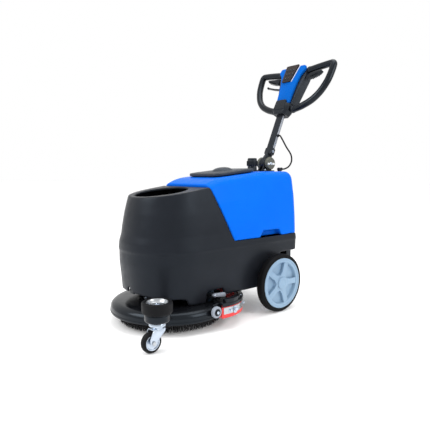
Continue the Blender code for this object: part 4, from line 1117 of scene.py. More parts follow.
@dataclass(frozen=True)
class RearWheel:
    """One rear wheel: tyre, five-spoked hub and cap.

    Attributes:
        side: which side it stands on.
        radius: radius over the tyre.
        rim: radius where the tyre meets the hub.
        inner: the tyre's inner face, as a distance from the middle plane.
        outer: the tyre's outer face.
        spokes: number of spokes.
    """

    side: Side
    radius: float = 0.128
    rim: float = 0.110
    inner: float = 0.2175
    outer: float = 0.2535
    spokes: int = 5

    def build(self) -> None:
        """Build the wheel."""
        bench = Bench(f"wheel_{self.side.word}")
        sign, word = self.side.value, self.side.word
        centre = (0.0, WHEEL_Y, WHEEL_Z)
        inner, outer, radius, rim = self.inner, self.outer, self.radius, self.rim

        def turned(profile: Profile, steps: int = 96) -> bmesh.types.BMesh:
            """Turn a profile of (radius, distance from the middle plane) on this side."""
            return turned_shape([(r, sign * x) for r, x in profile], "X", centre, steps)

        tyre = [(rim + 0.0003, inner), (0.1160, inner), (0.1170, inner + 0.0012),
                (0.1205, inner + 0.0006), (0.1262, inner + 0.0040), (radius, inner + 0.0100),
                (radius, inner + 0.0165), (radius - 0.0018, inner + 0.0171),
                (radius - 0.0018, outer - 0.0171), (radius, outer - 0.0165),
                (radius, outer - 0.0100), (0.1262, outer - 0.0040), (0.1205, outer - 0.0006),
                (0.1170, outer - 0.0012), (0.1160, outer), (rim + 0.0003, outer)]
        bench.add(f"tyre_{word}", turned(rounded(tyre, 0.0018, 4), 128), TYRE,
                  [f"rear_tyre_{word}"])
        hub = [(0.0103, 0.208), (0.030, 0.208), (0.030, 0.2300), (0.086, 0.2300), (0.088, 0.2185),
               (rim, 0.2185), (rim, 0.2550), (0.1030, 0.2562), (0.1022, 0.2535), (0.0930, 0.2535),
               (0.0905, 0.2505), (0.0885, 0.2365), (0.0400, 0.2365), (0.0345, 0.2515),
               (0.0300, 0.2520), (0.0103, 0.2520)]
        shapes = [turned(rounded(hub, 0.0014, 3))]
        for k in range(self.spokes):
            outline = rounded([(-0.0190, 0.0300), (0.0190, 0.0300), (0.0115, 0.0470),
                               (0.0130, 0.0905), (-0.0130, 0.0905), (-0.0115, 0.0470)], 0.004, 4)
            spoke = slab_shape(outline, (-0.0070, 0.0082), "X", 0.0050, 4)
            turn = Matrix.Rotation(math.tau * k / self.spokes - math.pi / 2, 4, "X")
            flip = Matrix.Scale(sign, 4, (1, 0, 0))
            spoke.transform(Matrix.Translation((sign * 0.2425, WHEEL_Y, WHEEL_Z)) @ flip @ turn)
            shapes.append(spoke)
        bench.add(f"hub_{word}", merged(shapes), HUB, [f"rear_hub_{word}"])
        cap = [(0.0, 0.2523), (0.0268, 0.2523), (0.0270, 0.2548), (0.0235, 0.2572),
               (0.0170, 0.2580), (0.0160, 0.2572), (0.0, 0.2574)]
        bench.add(f"cap_{word}", turned(rounded(cap, 0.0010, 3, False), 64), HUB,
                  [f"hub_cap_{word}"])


@dataclass(frozen=True)
class FrontCorner:
    """The side arm, the bumper roller above it and the swivel caster below it.

    Attributes:
        x: place of the swivel axis across the machine.
        y: place of the swivel axis along the machine.
        trail: how far the wheel's axle stands off the swivel axis.
        wheel: radius of the caster wheel.
    """

    x: float = 0.278
    y: float = -0.240
    trail: float = 0.026
    wheel: float = 0.0375

    def build(self) -> None:
        """Build the arm, the roller and the caster."""
        self._arm()
        self._roller()
        self._fork()
        self._wheel()

    def _arm(self) -> None:
        """Build the arm with its round boss."""
        centre = (self.x, self.y, 0.0)
        boss = rounded([(0.0, 0.1055), (0.040, 0.1055), (0.0445, 0.1100), (0.0450, 0.1300),
                        (0.043, 0.1350), (0.0, 0.1350)], 0.002, 4, False)
        along = Vector((self.x - 0.100, self.y + 0.085)).normalized()
        across = Vector((-along.y, along.x)) * 0.022
        tail, head = Vector((0.100, -0.085)), Vector((self.x, self.y))
        outline = [tuple(tail - across), tuple(head - across), tuple(head + across),
                   tuple(tail + across)]
        bar = slab_shape(outline, (0.1112, 0.1225), "Z", 0.003, 3)
        rib_across = across * 0.22
        rib = slab_shape([tuple(tail - rib_across), tuple(head - rib_across),
                          tuple(head + rib_across), tuple(tail + rib_across)],
                         (0.120, 0.1262), "Z", 0.002, 3)
        riser = box_shape((0.082, -0.103, 0.1115), (0.122, -0.072, 0.1957), 0.002)
        Bench("chassis").add("caster_arm_casting",
                             merged([turned_shape(boss, "Z", centre, 72), bar, rib, riser]),
                             GLOSS_BLACK, ["caster_arm"])

    def _roller(self) -> None:
        """Build the bumper roller, its dished hub and its bolt."""
        centre = (self.x, self.y, 0.0)
        bench = Bench("bumper_roller")
        tyre = rounded([(0.0393, 0.1353), (0.0500, 0.1353), (0.0535, 0.1395), (0.0535, 0.1707),
                        (0.0500, 0.1750), (0.0430, 0.1750), (0.0405, 0.1738), (0.0393, 0.1738)],
                       0.003, 4)
        bench.add("bumper_ring", turned_shape(tyre, "Z", centre, 96), RUBBER, ["bumper_tyre"])
        hub = rounded([(0.0065, 0.1365), (0.0390, 0.1365), (0.0390, 0.1735), (0.0368, 0.1735),
                       (0.0350, 0.1690), (0.0300, 0.1625), (0.0150, 0.1585), (0.0125, 0.1592),
                       (0.0065, 0.1592)], 0.0015, 3)
        bench.add("bumper_dish", turned_shape(hub, "Z", centre, 96), STEEL, ["bumper_hub"])
        bolt = [turned_shape([(0.0, 0.1353), (0.0060, 0.1353), (0.0060, 0.1670),
                              (0.0050, 0.1682), (0.0, 0.1682)], "Z", centre, 32),
                turned_shape([(0.0, 0.1593), (0.0118, 0.1593), (0.0118, 0.1605),
                              (0.0, 0.1605)], "Z", centre, 32),
                turned_shape([(0.0, 0.1604), (0.0092, 0.1604), (0.0095, 0.1612),
                              (0.0095, 0.1650), (0.0086, 0.1660), (0.0, 0.1660)], "Z", centre, 6)]
        Bench("chassis").add("bumper_stud", merged(bolt), ZINC, ["bumper_bolt"])

    def _fork(self) -> None:
        """Build the pressed fork, its swivel head and the axle."""
        bench = Bench("caster_swivel")
        centre = (self.x, self.y, 0.0)
        axle_y = self.y - self.trail
        head = rounded([(0.0, 0.0800), (0.0200, 0.0800), (0.0215, 0.0870), (0.0290, 0.0905),
                        (0.0300, 0.0945), (0.0290, 0.0985), (0.0270, 0.1030), (0.0240, 0.1050),
                        (0.0, 0.1050)], 0.0014, 3, False)
        leg = rounded([(axle_y - 0.012, self.wheel - 0.006), (axle_y + 0.004, self.wheel - 0.013),
                       (axle_y + 0.014, self.wheel + 0.002), (self.y + 0.020, 0.072),
                       (self.y + 0.022, 0.082), (self.y - 0.026, 0.082),
                       (axle_y - 0.014, 0.052)], 0.008, 5)
        crown = slab_shape(box_outline((self.x - 0.0180, self.y - 0.027),
                                       (self.x + 0.0180, self.y + 0.023), 0.006),
                           (0.0795, 0.0828), "Z", 0.0010, 3)
        legs = [slab_shape(leg, (self.x + low, self.x + low + 0.003), "X", 0.0007, 2)
                for low in (-0.0180, 0.0150)]
        balls = [turned_shape(rounded([(0.0, 0.0865), (0.0225, 0.0865), (0.0225, 0.0885),
                                       (0.0, 0.0885)], 0.0004, 2, False), "Z", centre, 48)]
        bench.add("caster_fork_pressing",
                  merged([turned_shape(head, "Z", centre, 72), crown, *legs, *balls]), ZINC,
                  ["caster_fork"])
        place = (self.x, axle_y, self.wheel)
        axle = [turned_shape([(0.0, -0.0190), (0.0040, -0.0190), (0.0040, 0.0190),
                              (0.0, 0.0190)], "X", place, 24),
                turned_shape([(0.0, 0.0181), (0.0078, 0.0181), (0.0080, 0.0190),
                              (0.0080, 0.0225), (0.0070, 0.0235), (0.0, 0.0235)], "X", place, 6),
                turned_shape([(0.0, -0.0181), (0.0078, -0.0181), (0.0080, -0.0190),
                              (0.0080, -0.0225), (0.0070, -0.0235), (0.0, -0.0235)], "X", place,
                             6)]
        bench.add("caster_axle_bolt", merged(axle), STEEL, ["caster_axle"])

    def _wheel(self) -> None:
        """Build the caster wheel."""
        bench = Bench("caster_wheel")
        place = (self.x, self.y - self.trail, self.wheel)
        half = 0.0125
        tyre = rounded([(0.0273, -half), (0.0325, -half), (0.0362, -half + 0.004),
                        (self.wheel, -half + 0.009), (self.wheel, half - 0.009),
                        (0.0362, half - 0.004), (0.0325, half), (0.0273, half)], 0.0024, 4)
        bench.add("caster_tread", turned_shape(tyre, "X", place, 80), RUBBER, ["caster_tyre"])
        hub = rounded([(0.0043, -half - 0.001), (0.0090, -half - 0.001), (0.0100, -half + 0.004),
                       (0.0220, -half + 0.004), (0.0245, -half), (0.0270, -half), (0.0270, half),
                       (0.0245, half), (0.0220, half - 0.004), (0.0100, half - 0.004),
                       (0.0090, half + 0.001), (0.0043, half + 0.001)], 0.0009, 2)
        bench.add("caster_disc", turned_shape(hub, "X", place, 64), ZINC, ["caster_hub"])


# ------------------------------------------------------------------------------ squeegee


@dataclass(frozen=True)
class Squeegee:
    """The curved squeegee behind the deck: casting, blades, strap, rollers and lever.

    Attributes:
        reach: half its width.
        low: height of the blades' lips.
        top: height of the casting's top.
        step: length of the curved pieces' facets.
    """

    reach: float = 0.2595
    low: float = 0.047
    top: float = 0.107
    step: float = 0.008

    def line(self, ahead: float = 0.0) -> list[Vector]:
        """Return the curve from the left tip to the right tip, with its ends cut short."""
        route = [(self.reach, 0.060, 0), (self.reach, 0.118, 0), (0.238, 0.176, 0),
                 (0.186, 0.228, 0), (0.100, 0.262, 0), (0.0, 0.272, 0)]
        half = [point for point in smooth_line(route, self.step) if point.y >= ahead - 1e-6]
        return half + [Vector((-p.x, p.y, 0)) for p in half[-2::-1]]

    def band(self, section: Profile, ahead: float = 0.0,
             round_tip: float = 0.0) -> bmesh.types.BMesh:
        """Sweep a section of (outward offset, height) along the curve.

        Args:
            section: the section's points.
            ahead: the tips are cut where the curve passes this Y.
            round_tip: length over which the tips taper in thickness.

        Returns:
            The shape.
        """
        line = self.line(ahead)
        last = len(line) - 1
        middle = sum(z for _, z in section) / len(section)
        rings = []
        for i, point in enumerate(line):
            along = (line[min(i + 1, last)] - line[max(i - 1, 0)]).normalized()
            outward = Vector((along.y, -along.x, 0))
            share = 1.0
            if round_tip:
                gone = min(i, last - i) * self.step
                if gone < round_tip:
                    share = math.sqrt(1 - (1 - gone / round_tip) ** 2) * 0.35 + 0.65
            rings.append([point + outward * offset * share
                          + Vector((0, 0, middle + (z - middle) * share))
                          for offset, z in section])
        return skin_shape(rings)

    def build(self) -> None:
        """Build the casting and what it carries."""
        under = self.top - 0.006
        bench = Bench("squeegee")
        casting = rounded([(-0.0057, 0.070), (0.0057, 0.070), (0.0057, 0.0905),
                           (0.0125, 0.0915), (0.0125, self.top - 0.0030), (0.0090, self.top),
                           (-0.0090, self.top), (-0.0115, self.top - 0.0030),
                           (-0.0115, 0.0915), (-0.0057, 0.0905)], 0.0022, 3)
        plate = slab_shape(rounded([(-0.078, 0.262), (0.078, 0.262), (0.066, 0.306),
                                    (-0.066, 0.306)], 0.006, 4), (0.104, 0.117), "Z", 0.002)
        bores = [turned_shape([(0.0, 0.05), (0.0067, 0.05), (0.0067, 0.15), (0.0, 0.15)], "Z",
                              (side * 0.050, 0.2935, 0), 32) for side in (-1, 1)]
        plate = carve(plate, bores)
        elbow = turned_shape(rounded([(0.0165, 0.116), (0.0200, 0.116), (0.0200, 0.136),
                                      (0.0210, 0.1375), (0.0200, 0.139), (0.0200, 0.144),
                                      (0.0210, 0.1455), (0.0195, 0.150), (0.0165, 0.150)],
                                     0.0008, 2), "Z", (0, 0.272, 0), 48)
        cheeks = []
        outline = rounded([(0.026, 0.0765), (0.030, 0.068), (0.040, 0.066), (0.050, 0.072),
                           (0.0590, 0.080), (0.0590, 0.1002), (0.0640, 0.1002),
                           (0.0640, 0.1065), (0.030, 0.1065), (0.026, 0.100)], 0.003, 3)
        for side in Side:
            sign = side.value
            cheeks.append(slab_shape(outline, tuple(sorted((sign * 0.2496, sign * 0.2542))), "X",
                                     0.0010, 2))
            cheeks.append(turned_shape([(0.0, sign * 0.2535), (0.0060, sign * 0.2535),
                                        (0.0060, sign * 0.2728), (0.0052, sign * 0.2735),
                                        (0.0, sign * 0.2735)], "X", (0, 0.036, 0.0765), 32))
        for side in Side:
            inner = [(side.value * x, y) for x, y in ((0.2485, 0.0780), (0.2485, 0.1180),
                                                      (0.2390, 0.1450), (0.2290, 0.1620))]
            outer = [(side.value * x, y) for x, y in ((0.2500, 0.1700), (0.2620, 0.1480),
                                                      (0.2700, 0.1200), (0.2700, 0.0780))]
            cheeks.append(slab_shape(rounded(inner + outer, 0.006, 4), (0.1040, 0.1205), "Z",
                                     0.0050, 4))
        bench.add("squeegee_casting", merged([self.band(casting), plate, elbow, *cheeks]),
                  GLOSS_BLACK, ["squeegee_body"], 40)
        high = under - 0.0015
        for name, offset in (("front_blade", -0.0075), ("rear_blade", 0.0075)):
            lip = [(offset - 0.0015, self.low), (offset + 0.0015, self.low),
                   (offset + 0.0015, high), (offset - 0.0015, high)]
            bench.add(f"{name}_rubber", self.band(rounded(lip, 0.0004, 2)), RED, [name])
        strap = rounded([(0.0092, 0.062), (0.0106, 0.062), (0.0106, 0.088), (0.0092, 0.088)],
                        0.0003, 2)
        bench.add("blade_strap_band", self.band(strap, 0.068), STEEL, ["blade_strap"])
        self._fasteners(bench)
        for side in Side:
            self._roller(side)
        self._lever()

    def _fasteners(self, bench: Bench) -> None:
        """Build the strap's bolts, its end clamps and the top screws."""
        line = self.line()
        last = len(line) - 1
        bolts, screws = [], []
        for share in (0.055, 0.20, 0.34, 0.50, 0.66, 0.80, 0.945):
            i = round(share * last)
            along = (line[min(i + 1, last)] - line[max(i - 1, 0)]).normalized()
            outward = Vector((along.y, -along.x, 0))
            bolt = bolt_shape((0, 0, 0), 0.0060, 0.0065)
            bolt.transform(Matrix.Translation(line[i] + outward * 0.0105 + Vector((0, 0, 0.0750)))
                           @ outward.to_track_quat("Z", "Y").to_matrix().to_4x4())
            bolts.append(bolt)
            screws.append(turned_shape(rounded([(0.0, 0.0), (0.0048, 0.0), (0.0044, 0.0024),
                                                (0.0, 0.0030)], 0.0006, 2, False), "Z",
                                       line[i] + outward * 0.001 + Vector((0, 0, self.top - 0.0004)),
                                       24))
        for sign in (-1, 1):
            clamp = slab_shape(rounded([(0.1180, 0.0590), (0.1345, 0.0590), (0.1345, 0.0880),
                                        (0.1180, 0.0880)], 0.005, 4),
                               tuple(sorted((sign * 0.2706, sign * 0.2722))), "X", 0.0004, 2)
            bolts.append(clamp)
            bolts.append(turned_shape([(0.0, sign * 0.2715), (0.0085, sign * 0.2715),
                                       (0.0085, sign * 0.2790), (0.0072, sign * 0.2800),
                                       (0.0, sign * 0.2800)], "X", (0, 0.1265, 0.0750), 6))
        bench.add("strap_bolts", merged(bolts), ZINC)
        bench.add("casting_screws", merged(screws), ZINC)

    @staticmethod
    def _roller(side: Side) -> None:
        """Build one grey end roller with its black inner ring and bright pin head."""
        bench = Bench(f"roller_{side.word}")
        sign = side.value
        place = (sign * 0.2625, 0.036, 0.0765)
        ring = rounded([(0.0140, -0.008), (0.0195, -0.008), (0.0225, -0.0050), (0.0225, 0.0050),
                        (0.0195, 0.008), (0.0140, 0.008)], 0.0016, 4)
        bench.add(f"end_roller_{side.word}", turned_shape(ring, "X", place, 64), GREY,
                  [f"squeegee_roller_{side.word}"])
        core = rounded([(0.0064, -0.0072), (0.0142, -0.0072), (0.0142, 0.0072),
                        (0.0064, 0.0072)], 0.0008, 2)
        bench.add(f"roller_core_{side.word}", turned_shape(core, "X", place, 48), SATIN_BLACK)
        head = rounded([(0.0, sign * 0.0108), (0.0062, sign * 0.0108), (0.0058, sign * 0.0128),
                        (0.0, sign * 0.0136)], 0.0006, 2, False)
        Bench("squeegee").add(f"roller_pin_head_{side.word}",
                              turned_shape(head, "X", place, 32), ZINC)

    @staticmethod
    def _lever() -> None:
        """Build the grey locking lever, its screw and its bracket."""
        bracket = box_shape((0.150, 0.060, 0.1125), (0.2030, 0.118, 0.1195), 0.0015)
        tab = box_shape((0.1990, 0.060, 0.1125), (0.2030, 0.074, 0.1330), 0.0012)
        Bench("chassis").add("lever_mount", merged([bracket, tab]), BLACK_METAL,
                             ["lever_bracket"])
        outline = rounded([(0.060, 0.1265), (0.063, 0.1210), (0.070, 0.1195), (0.119, 0.1130),
                           (0.124, 0.1165), (0.122, 0.1290), (0.116, 0.1310), (0.070, 0.1335),
                           (0.063, 0.1320)], 0.003, 3)
        bench = Bench("lock_lever")
        bench.add("lock_lever_blade", merged([
            slab_shape(outline, (0.2060, 0.2180), "X", 0.0028, 4),
            slab_shape(rounded([(0.078, 0.1215), (0.114, 0.1175), (0.116, 0.1260),
                                (0.080, 0.1290)], 0.002, 3), (0.2170, 0.2192), "X", 0.0010, 2),
            turned_shape([(0.0, 0.2033), (0.0040, 0.2033), (0.0040, 0.2070), (0.0, 0.2070)],
                         "X", (0, 0.067, 0.1265), 24)]), GREY, ["squeegee_lever"])
        bench.add("lock_lever_screw", turned_shape(
            rounded([(0.0, 0.2178), (0.0045, 0.2178), (0.0042, 0.2196), (0.0, 0.2204)], 0.0005, 2,
                    False), "X", (0, 0.067, 0.1265), 24), ZINC)


# ------------------------------------------------------------------------------ folding handle


@dataclass(frozen=True)
class PivotJoint:
    """The fold joint on the tank: two-eared yoke, bolt, toothed knobs and gusset.

    Attributes:
        teeth: number of teeth round each knob.
        knob: radius of the knobs.
        foot: height of the tank's top.
    """

    teeth: int = 24
    knob: float = 0.0312
    foot: float = 0.6173

    def build(self) -> None:
        """Build the joint."""
        bench = Bench("upper_tank")
        y, z = FOLD.y, FOLD.z
        ear = rounded(arc((y, z), 0.030, -20, 200, 20)
                      + [(y - 0.042, self.foot + 0.002), (y + 0.020, self.foot + 0.002)], 0.004, 3)
        shapes = [slab_shape(ear, span, "X", 0.0018, 3)
                  for span in ((0.0085, 0.0175), (-0.0175, -0.0085))]
        shapes.append(slab_shape(box_outline((-0.044, y - 0.050), (0.044, y + 0.020), 0.010),
                                 (self.foot, self.foot + 0.005), "Z", 0.0016, 3))
        for side in (-1, 1):
            gusset = rounded([(y - 0.040, self.foot + 0.004), (y + 0.018, self.foot + 0.004),
                              (y + 0.010, self.foot + 0.020), (y - 0.018, self.foot + 0.024)],
                             0.003, 3)
            shapes.append(slab_shape(gusset, tuple(sorted((side * 0.0140, side * 0.0173))), "X",
                                     0.0010, 2))
        bench.add("pivot_yoke", merged(shapes), BLACK_METAL, ["pivot_bracket"])
        screws = [bolt_shape((x, y - 0.041, self.foot + 0.0049), 0.0050, 0.0050)
                  for x in (-0.034, 0.034)]
        bench.add("foot_screws", merged(screws), ZINC)
        bench.add("fold_bolt", turned_shape([(0.0, -0.0240), (0.0050, -0.0240),
                                             (0.0050, 0.0240), (0.0, 0.0240)], "X", (0, y, z),
                                            32), STEEL, ["pivot_bolt"])
        for side in Side:
            self._knob(side)

    def _knob(self, side: Side) -> None:
        """Build one clamp knob with its teeth, the pale row across its face and its cap."""
        bench = Bench(f"knob_{side.word}")
        sign = side.value
        place = (0.0, FOLD.y, FOLD.z)
        knob = self.knob

        def turned(profile: Profile, steps: int = 72) -> bmesh.types.BMesh:
            """Turn a profile of (radius, distance from the middle plane) on this side."""
            return turned_shape([(r, sign * x) for r, x in profile], "X", place, steps)

        body = rounded([(0.0053, 0.0178), (0.0240, 0.0178), (0.0298, 0.0205), (0.0298, 0.0320),
                        (0.0280, 0.0350), (0.0110, 0.0352), (0.0100, 0.0340), (0.0, 0.0340),
                        (0.0, 0.0246), (0.0053, 0.0246)], 0.0008, 2, False)
        bench.add(f"knob_body_{side.word}", turned(body), OLIVE, [f"clamp_knob_{side.word}"])
        teeth = []
        for k in range(self.teeth):
            tooth = slab_shape(rounded([(0.0255, -0.0030), (knob, -0.0022), (knob, 0.0022),
                                        (0.0255, 0.0030)], 0.0012, 2),
                               (0.0232, 0.0296), "X", 0.0008, 2)
            tooth.transform(Matrix.Translation(place) @ Matrix.Scale(sign, 4, (1, 0, 0))
                            @ Matrix.Rotation(math.tau * k / self.teeth, 4, "X"))
            teeth.append(tooth)
        bench.add(f"knob_teeth_{side.word}", merged(teeth), OLIVE)
        face = turned([(0.0235, 0.0349), (0.0245, 0.0360), (0.0270, 0.0360), (0.0278, 0.0349)])
        bench.add(f"knob_face_{side.word}", face, OLIVE)
        row = [turned_shape(rounded([(0.0, sign * 0.0345), (0.0047, sign * 0.0345),
                                     (0.0043, sign * 0.0362), (0.0, sign * 0.0368)], 0.0004, 2,
                                    False), "X", (0.0, FOLD.y + y, FOLD.z - 0.0025), 20)
               for y in (-0.0200, -0.0120, 0.0120, 0.0200)]
        row.append(slab_shape(box_outline((FOLD.y - 0.0235, FOLD.z - 0.0005),
                                          (FOLD.y + 0.0235, FOLD.z + 0.0030), 0.0010, 2),
                              tuple(sorted((sign * 0.0345, sign * 0.0362))), "X", 0.0004, 2))
        bench.add(f"knob_row_{side.word}", merged(row), OLIVE_RIM)
        cap = turned(rounded([(0.0, 0.0338), (0.0075, 0.0338), (0.0072, 0.0368), (0.0, 0.0378)],
                             0.0008, 2, False), 36)
        bench.add(f"knob_cap_{side.word}", cap, ZINC)


@dataclass(frozen=True)
class Column:
    """The folding column: flared foot, flat tube and collar.

    Attributes:
        half_wide: half the tube's width.
        half_deep: half the tube's depth.
        low: where the tube starts above the fold axis.
        high: where it enters the collar.
    """

    half_wide: float = 0.0205
    half_deep: float = 0.0088
    low: float = 0.050
    high: float = 0.2600

    def build(self) -> None:
        """Build the column."""
        bench = Bench("handle", HANDLE)
        wide, deep = self.half_wide, self.half_deep
        foot = rounded(arc((0, 0), 0.029, 180, 360, 16) + [(0.026, 0.020), (0.015, 0.052),
                                                           (0.013, 0.068), (-0.013, 0.068),
                                                           (-0.015, 0.052), (-0.026, 0.020)],
                       0.004, 3)
        foot_shape = carve(slab_shape(foot, (-0.0082, 0.0082), "X", 0.0014, 3),
                           [turned_shape([(0.0, -0.05), (0.0053, -0.05), (0.0053, 0.05),
                                          (0.0, 0.05)], "X", (0, 0, 0), 32)])
        socket = skin_shape([[(x * share, y * share, u) for x, y in
                              box_outline((-0.0228, -0.0135), (0.0228, 0.0135), 0.004, 4)]
                             for share, u in ((0.72, 0.0450), (0.97, 0.0500), (1.0, 0.0530),
                                              (1.0, 0.0765), (0.95, 0.0800))])
        bench.add("column_foot", merged([foot_shape, socket]), BLACK_METAL, crease=40)
        outline = box_outline((-wide, -deep), (wide, deep), 0.0026, 4)
        tube = slab_shape(outline, (self.low, self.high), "Z")
        bench.add("column_tube", tube, BLACK_METAL, ["handle_column"], 50)
        faces = []
        for side in (-1, 1):
            faces.append(slab_shape(box_outline((-deep + 0.0030, 0.0820),
                                                (deep - 0.0030, self.high - 0.001), 0.0016, 3),
                                    tuple(sorted((side * (wide - 0.0004),
                                                  side * (wide + 0.0007)))), "X", 0.0003, 2))
        bench.add("column_side_strips", merged(faces), GREY_METAL)
        bolts = []
        for side in (-1, 1):
            bolts.append(bolt_shape((side * 0.0226, 0.0, 0.0655), 0.0046, 0.0042, "X", side))
            bolts.append(bolt_shape((side * (wide + 0.0005), 0.0, 0.106), 0.0038, 0.0034, "X",
                                    side))
        bench.add("column_bolts", merged(bolts), ZINC)
        self._collar(bench)

    @staticmethod
    def _collar(bench: Bench) -> None:
        """Build the bevelled collar that carries the console."""
        levels = ((0.2603, 0.74, 0.80), (0.2640, 0.78, 0.86), (0.2820, 1.0, 0.98),
                  (0.2860, 1.0, 1.0), (0.3140, 1.0, 1.0), (0.3180, 0.97, 0.97))
        rings = []
        for u, wide, deep in levels:
            outline = rounded([(-0.050, -0.016), (-0.034, -0.030), (0.034, -0.030),
                               (0.050, -0.016), (0.050, 0.020), (0.034, 0.034),
                               (-0.034, 0.034), (-0.050, 0.020)], 0.003, 3)
            rings.append([(x * wide, y * deep, u) for x, y in outline])
        plate = shaped_plate([(-0.036, 0.282), (0.036, 0.282), (0.031, 0.334), (-0.031, 0.334)],
                             (-0.0325, -0.0206), 0.0025, 0.007)
        bench.add("collar_block", merged([skin_shape(rings), plate]), SATIN_BLACK,
                  ["column_collar"], 20)


def shaped_plate(front: Profile, span: tuple[float, float], bevel: float,
                 corner: float) -> bmesh.types.BMesh:
    """Make a plate facing the handle's front with round corners and edges.

    Args:
        front: its outline seen from the front, as (X, height up the column).
        span: its front and back face.
        bevel: rounding of its edges.
        corner: rounding of its corners.

    Returns:
        The shape.
    """
    return slab_shape(rounded(front, corner, 5), span, "Y", bevel, 4)


@dataclass(frozen=True)
class Console:
    """The control console: textured housing, blue cover, keypad and lamps.

    Attributes:
        top: height of the console's top up the column.
        base: height of its foot.
        front: the housing's front face.
        back: the housing's back face.
    """

    top: float = 0.520
    base: float = 0.3183
    front: float = -0.004
    back: float = 0.046

    def build(self) -> None:
        """Build the console."""
        bench = Bench("handle", HANDLE)
        housing = shaped_plate([(-0.049, self.base), (0.049, self.base), (0.083, 0.470),
                                (0.083, self.top), (-0.083, self.top), (-0.083, 0.470)],
                               (self.front, self.back), 0.006, 0.008)
        bench.add("console_shell", housing, HAMMERED_BLACK, ["console_housing"])
        edge = [(0.042, 0.3190), (0.0465, 0.380), (0.0520, 0.430), (0.063, 0.475),
                (0.086, 0.505), (0.078, 0.528)]
        cover = shaped_plate(edge + [(-x, u) for x, u in edge[::-1]], (-0.0200, -0.0043), 0.005,
                             0.010)
        bench.add("console_face", cover, BLUE_COVER, ["console_cover"])
        pad = shaped_plate([(-0.042, 0.440), (0.012, 0.440), (0.042, 0.532), (-0.038, 0.532)],
                           (-0.0270, -0.0190), 0.0020, 0.005)
        bench.add("keypad_film", pad, KEYPAD, ["control_keypad"])
        stripe = shaped_plate([(0.0150, 0.440), (0.0190, 0.440), (0.0490, 0.531),
                               (0.0445, 0.531)], (-0.0212, -0.0190), 0.0004, 0.001)
        bench.add("keypad_edge_line", stripe, PALE_MARK)
        keys, lamps = [], []
        for row, u in enumerate((0.456, 0.480, 0.503)):
            for x in (-0.026, -0.007, 0.012)[:2 if row == 0 else 3]:
                keys.append(shaped_plate([(x - 0.0062, u - 0.0058), (x + 0.0062, u - 0.0058),
                                          (x + 0.0062, u + 0.0058), (x - 0.0062, u + 0.0058)],
                                         (-0.0280, -0.0266), 0.0005, 0.0025))
                lamps.append(turned_shape([(0.0, -0.0279), (0.0011, -0.0279), (0.0011, -0.0284),
                                           (0.0, -0.0284)], "Y", (x + 0.0042, 0, u + 0.0040), 12))
        bench.add("keypad_keys", merged(keys), SATIN_BLACK)
        bench.add("keypad_lamps", merged(lamps), GREY)
        vents = [shaped_plate([(-0.030, u), (0.030, u), (0.030, u + 0.0035), (-0.030, u + 0.0035)],
                              (0.0455, 0.0472), 0.0004, 0.0015)
                 for u in (0.372, 0.382, 0.392, 0.402, 0.412)]
        bench.add("console_rear_vents", merged(vents), SATIN_BLACK)
        screws = [turned_shape(rounded([(0.0, 0.0458), (0.0040, 0.0458), (0.0037, 0.0478),
                                        (0.0, 0.0484)], 0.0005, 2, False), "Y", (x, 0, u), 20)
                  for x, u in ((-0.066, 0.500), (0.066, 0.500), (-0.040, 0.340), (0.040, 0.340))]
        bench.add("console_rear_screws", merged(screws), ZINC)


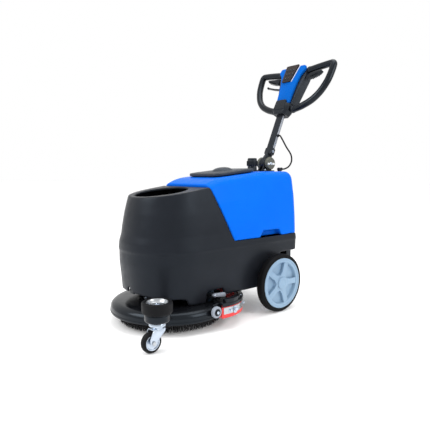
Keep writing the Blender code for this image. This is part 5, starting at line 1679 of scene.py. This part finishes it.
@dataclass(frozen=True)
class Grips:
    """The two looped handles, their triggers and the thin squeegee lever.

    Attributes:
        bar: radius of the loops.
        back: how far the loops stand behind the column's middle.
    """

    bar: float = 0.0166
    back: float = 0.008

    def build(self) -> None:
        """Build the loops and the levers."""
        for side in Side:
            self._loop(side)
            self._trigger(side)
        self._lift_lever()

    def _loop(self, side: Side) -> None:
        """Build one loop with its end collars."""
        bench = Bench("handle", HANDLE)
        route = [(0.0870, 0.508), (0.150, 0.5165), (0.212, 0.5225), (0.2265, 0.5210),
                 (0.2325, 0.507), (0.2300, 0.462), (0.221, 0.420), (0.198, 0.372),
                 (0.163, 0.335), (0.120, 0.312), (0.086, 0.3005), (0.0535, 0.2932)]
        points = smooth_line([(side.value * x, self.back, u) for x, u in route], 0.004)
        loop = tube_shape(points, self.bar, 32)
        bench.add(f"loop_{side.word}", loop, GLOSS_BLACK, [f"handle_loop_{side.word}"], 50)
        rings = [tube_shape([points[0] + (points[1] - points[0]) * t for t in (0.6, 2.6)],
                            self.bar * 1.09, 32),
                 tube_shape([points[-1] + (points[-2] - points[-1]) * t for t in (0.8, 3.0)],
                            self.bar * 1.09, 32)]
        bench.add(f"loop_rings_{side.word}", merged(rings), SATIN_BLACK, crease=50)

    @staticmethod
    def _trigger(side: Side) -> None:
        """Build one wedge-shaped trigger under the loop's upper bar."""
        bench = Bench("trigger_l" if side is Side.LEFT else "trigger_r", HANDLE)
        sign = side.value
        wedge = [(0.0, -0.007), (0.004, -0.016), (0.040, -0.008), (0.078, 0.005),
                 (0.088, 0.019), (0.080, 0.0205), (0.040, 0.0168), (0.0, 0.0150)]
        outline = rounded([(sign * (0.0890 + a), 0.4700 + b) for a, b in wedge], 0.003, 4)
        ribs = []
        for k in range(5):
            x = sign * (0.120 + 0.008 * k)
            low = 0.4620 + 0.0025 * k
            ribs.append(box_shape((x - 0.0014, -0.0065, low - 0.0010),
                                  (x + 0.0014, 0.0225, low + 0.0050), 0.0005))
        bench.add(f"trigger_blade_{side.word}",
                  merged([slab_shape(outline, (-0.001, 0.017), "Y", 0.0028, 4), *ribs]),
                  GLOSS_BLACK, [f"trigger_{side.word}"])

    @staticmethod
    def _lift_lever() -> None:
        """Build the thin bent lever that raises the squeegee."""
        bench = Bench("lift", HANDLE)
        thin = [(0.0020, -0.003), (0.045, 0.006), (0.098, 0.022), (0.100, 0.029),
                (0.042, 0.012), (0.0020, 0.004)]
        outline = rounded([(-0.0830 - a, 0.430 + b) for a, b in thin], 0.002, 4)
        knob = turned_shape(rounded([(0.0, -0.0075), (0.0050, -0.0075), (0.0060, 0.0),
                                     (0.0050, 0.0075), (0.0, 0.0075)], 0.002, 4, False), "Y",
                            (-0.0830 - 0.0965, 0.020, 0.4555), 32)
        bench.add("lift_lever_blade",
                  merged([slab_shape(outline, (0.014, 0.026), "Y", 0.0016, 3), knob]),
                  SATIN_BLACK, ["lift_lever"])


# ------------------------------------------------------------------------------ assembly


def main() -> None:
    """Build the whole scene."""
    logging.basicConfig(level=logging.INFO, format="%(name)s: %(message)s")
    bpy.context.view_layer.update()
    Studio().build()
    ControlCable().build()
    LowerBody().build()
    UpperTank().build()
    Lid().build()
    Port().build()
    BrushDeck().build()
    for side in Side:
        RearWheel(side).build()
    FrontCorner().build()
    Squeegee().build()
    PivotJoint().build()
    Column().build()
    Console().build()
    Grips().build()
    dress(BLACK_METAL, "chassis_frame")
    dress(STEEL, "rear_axle")


if __name__ == "__main__":
    main()
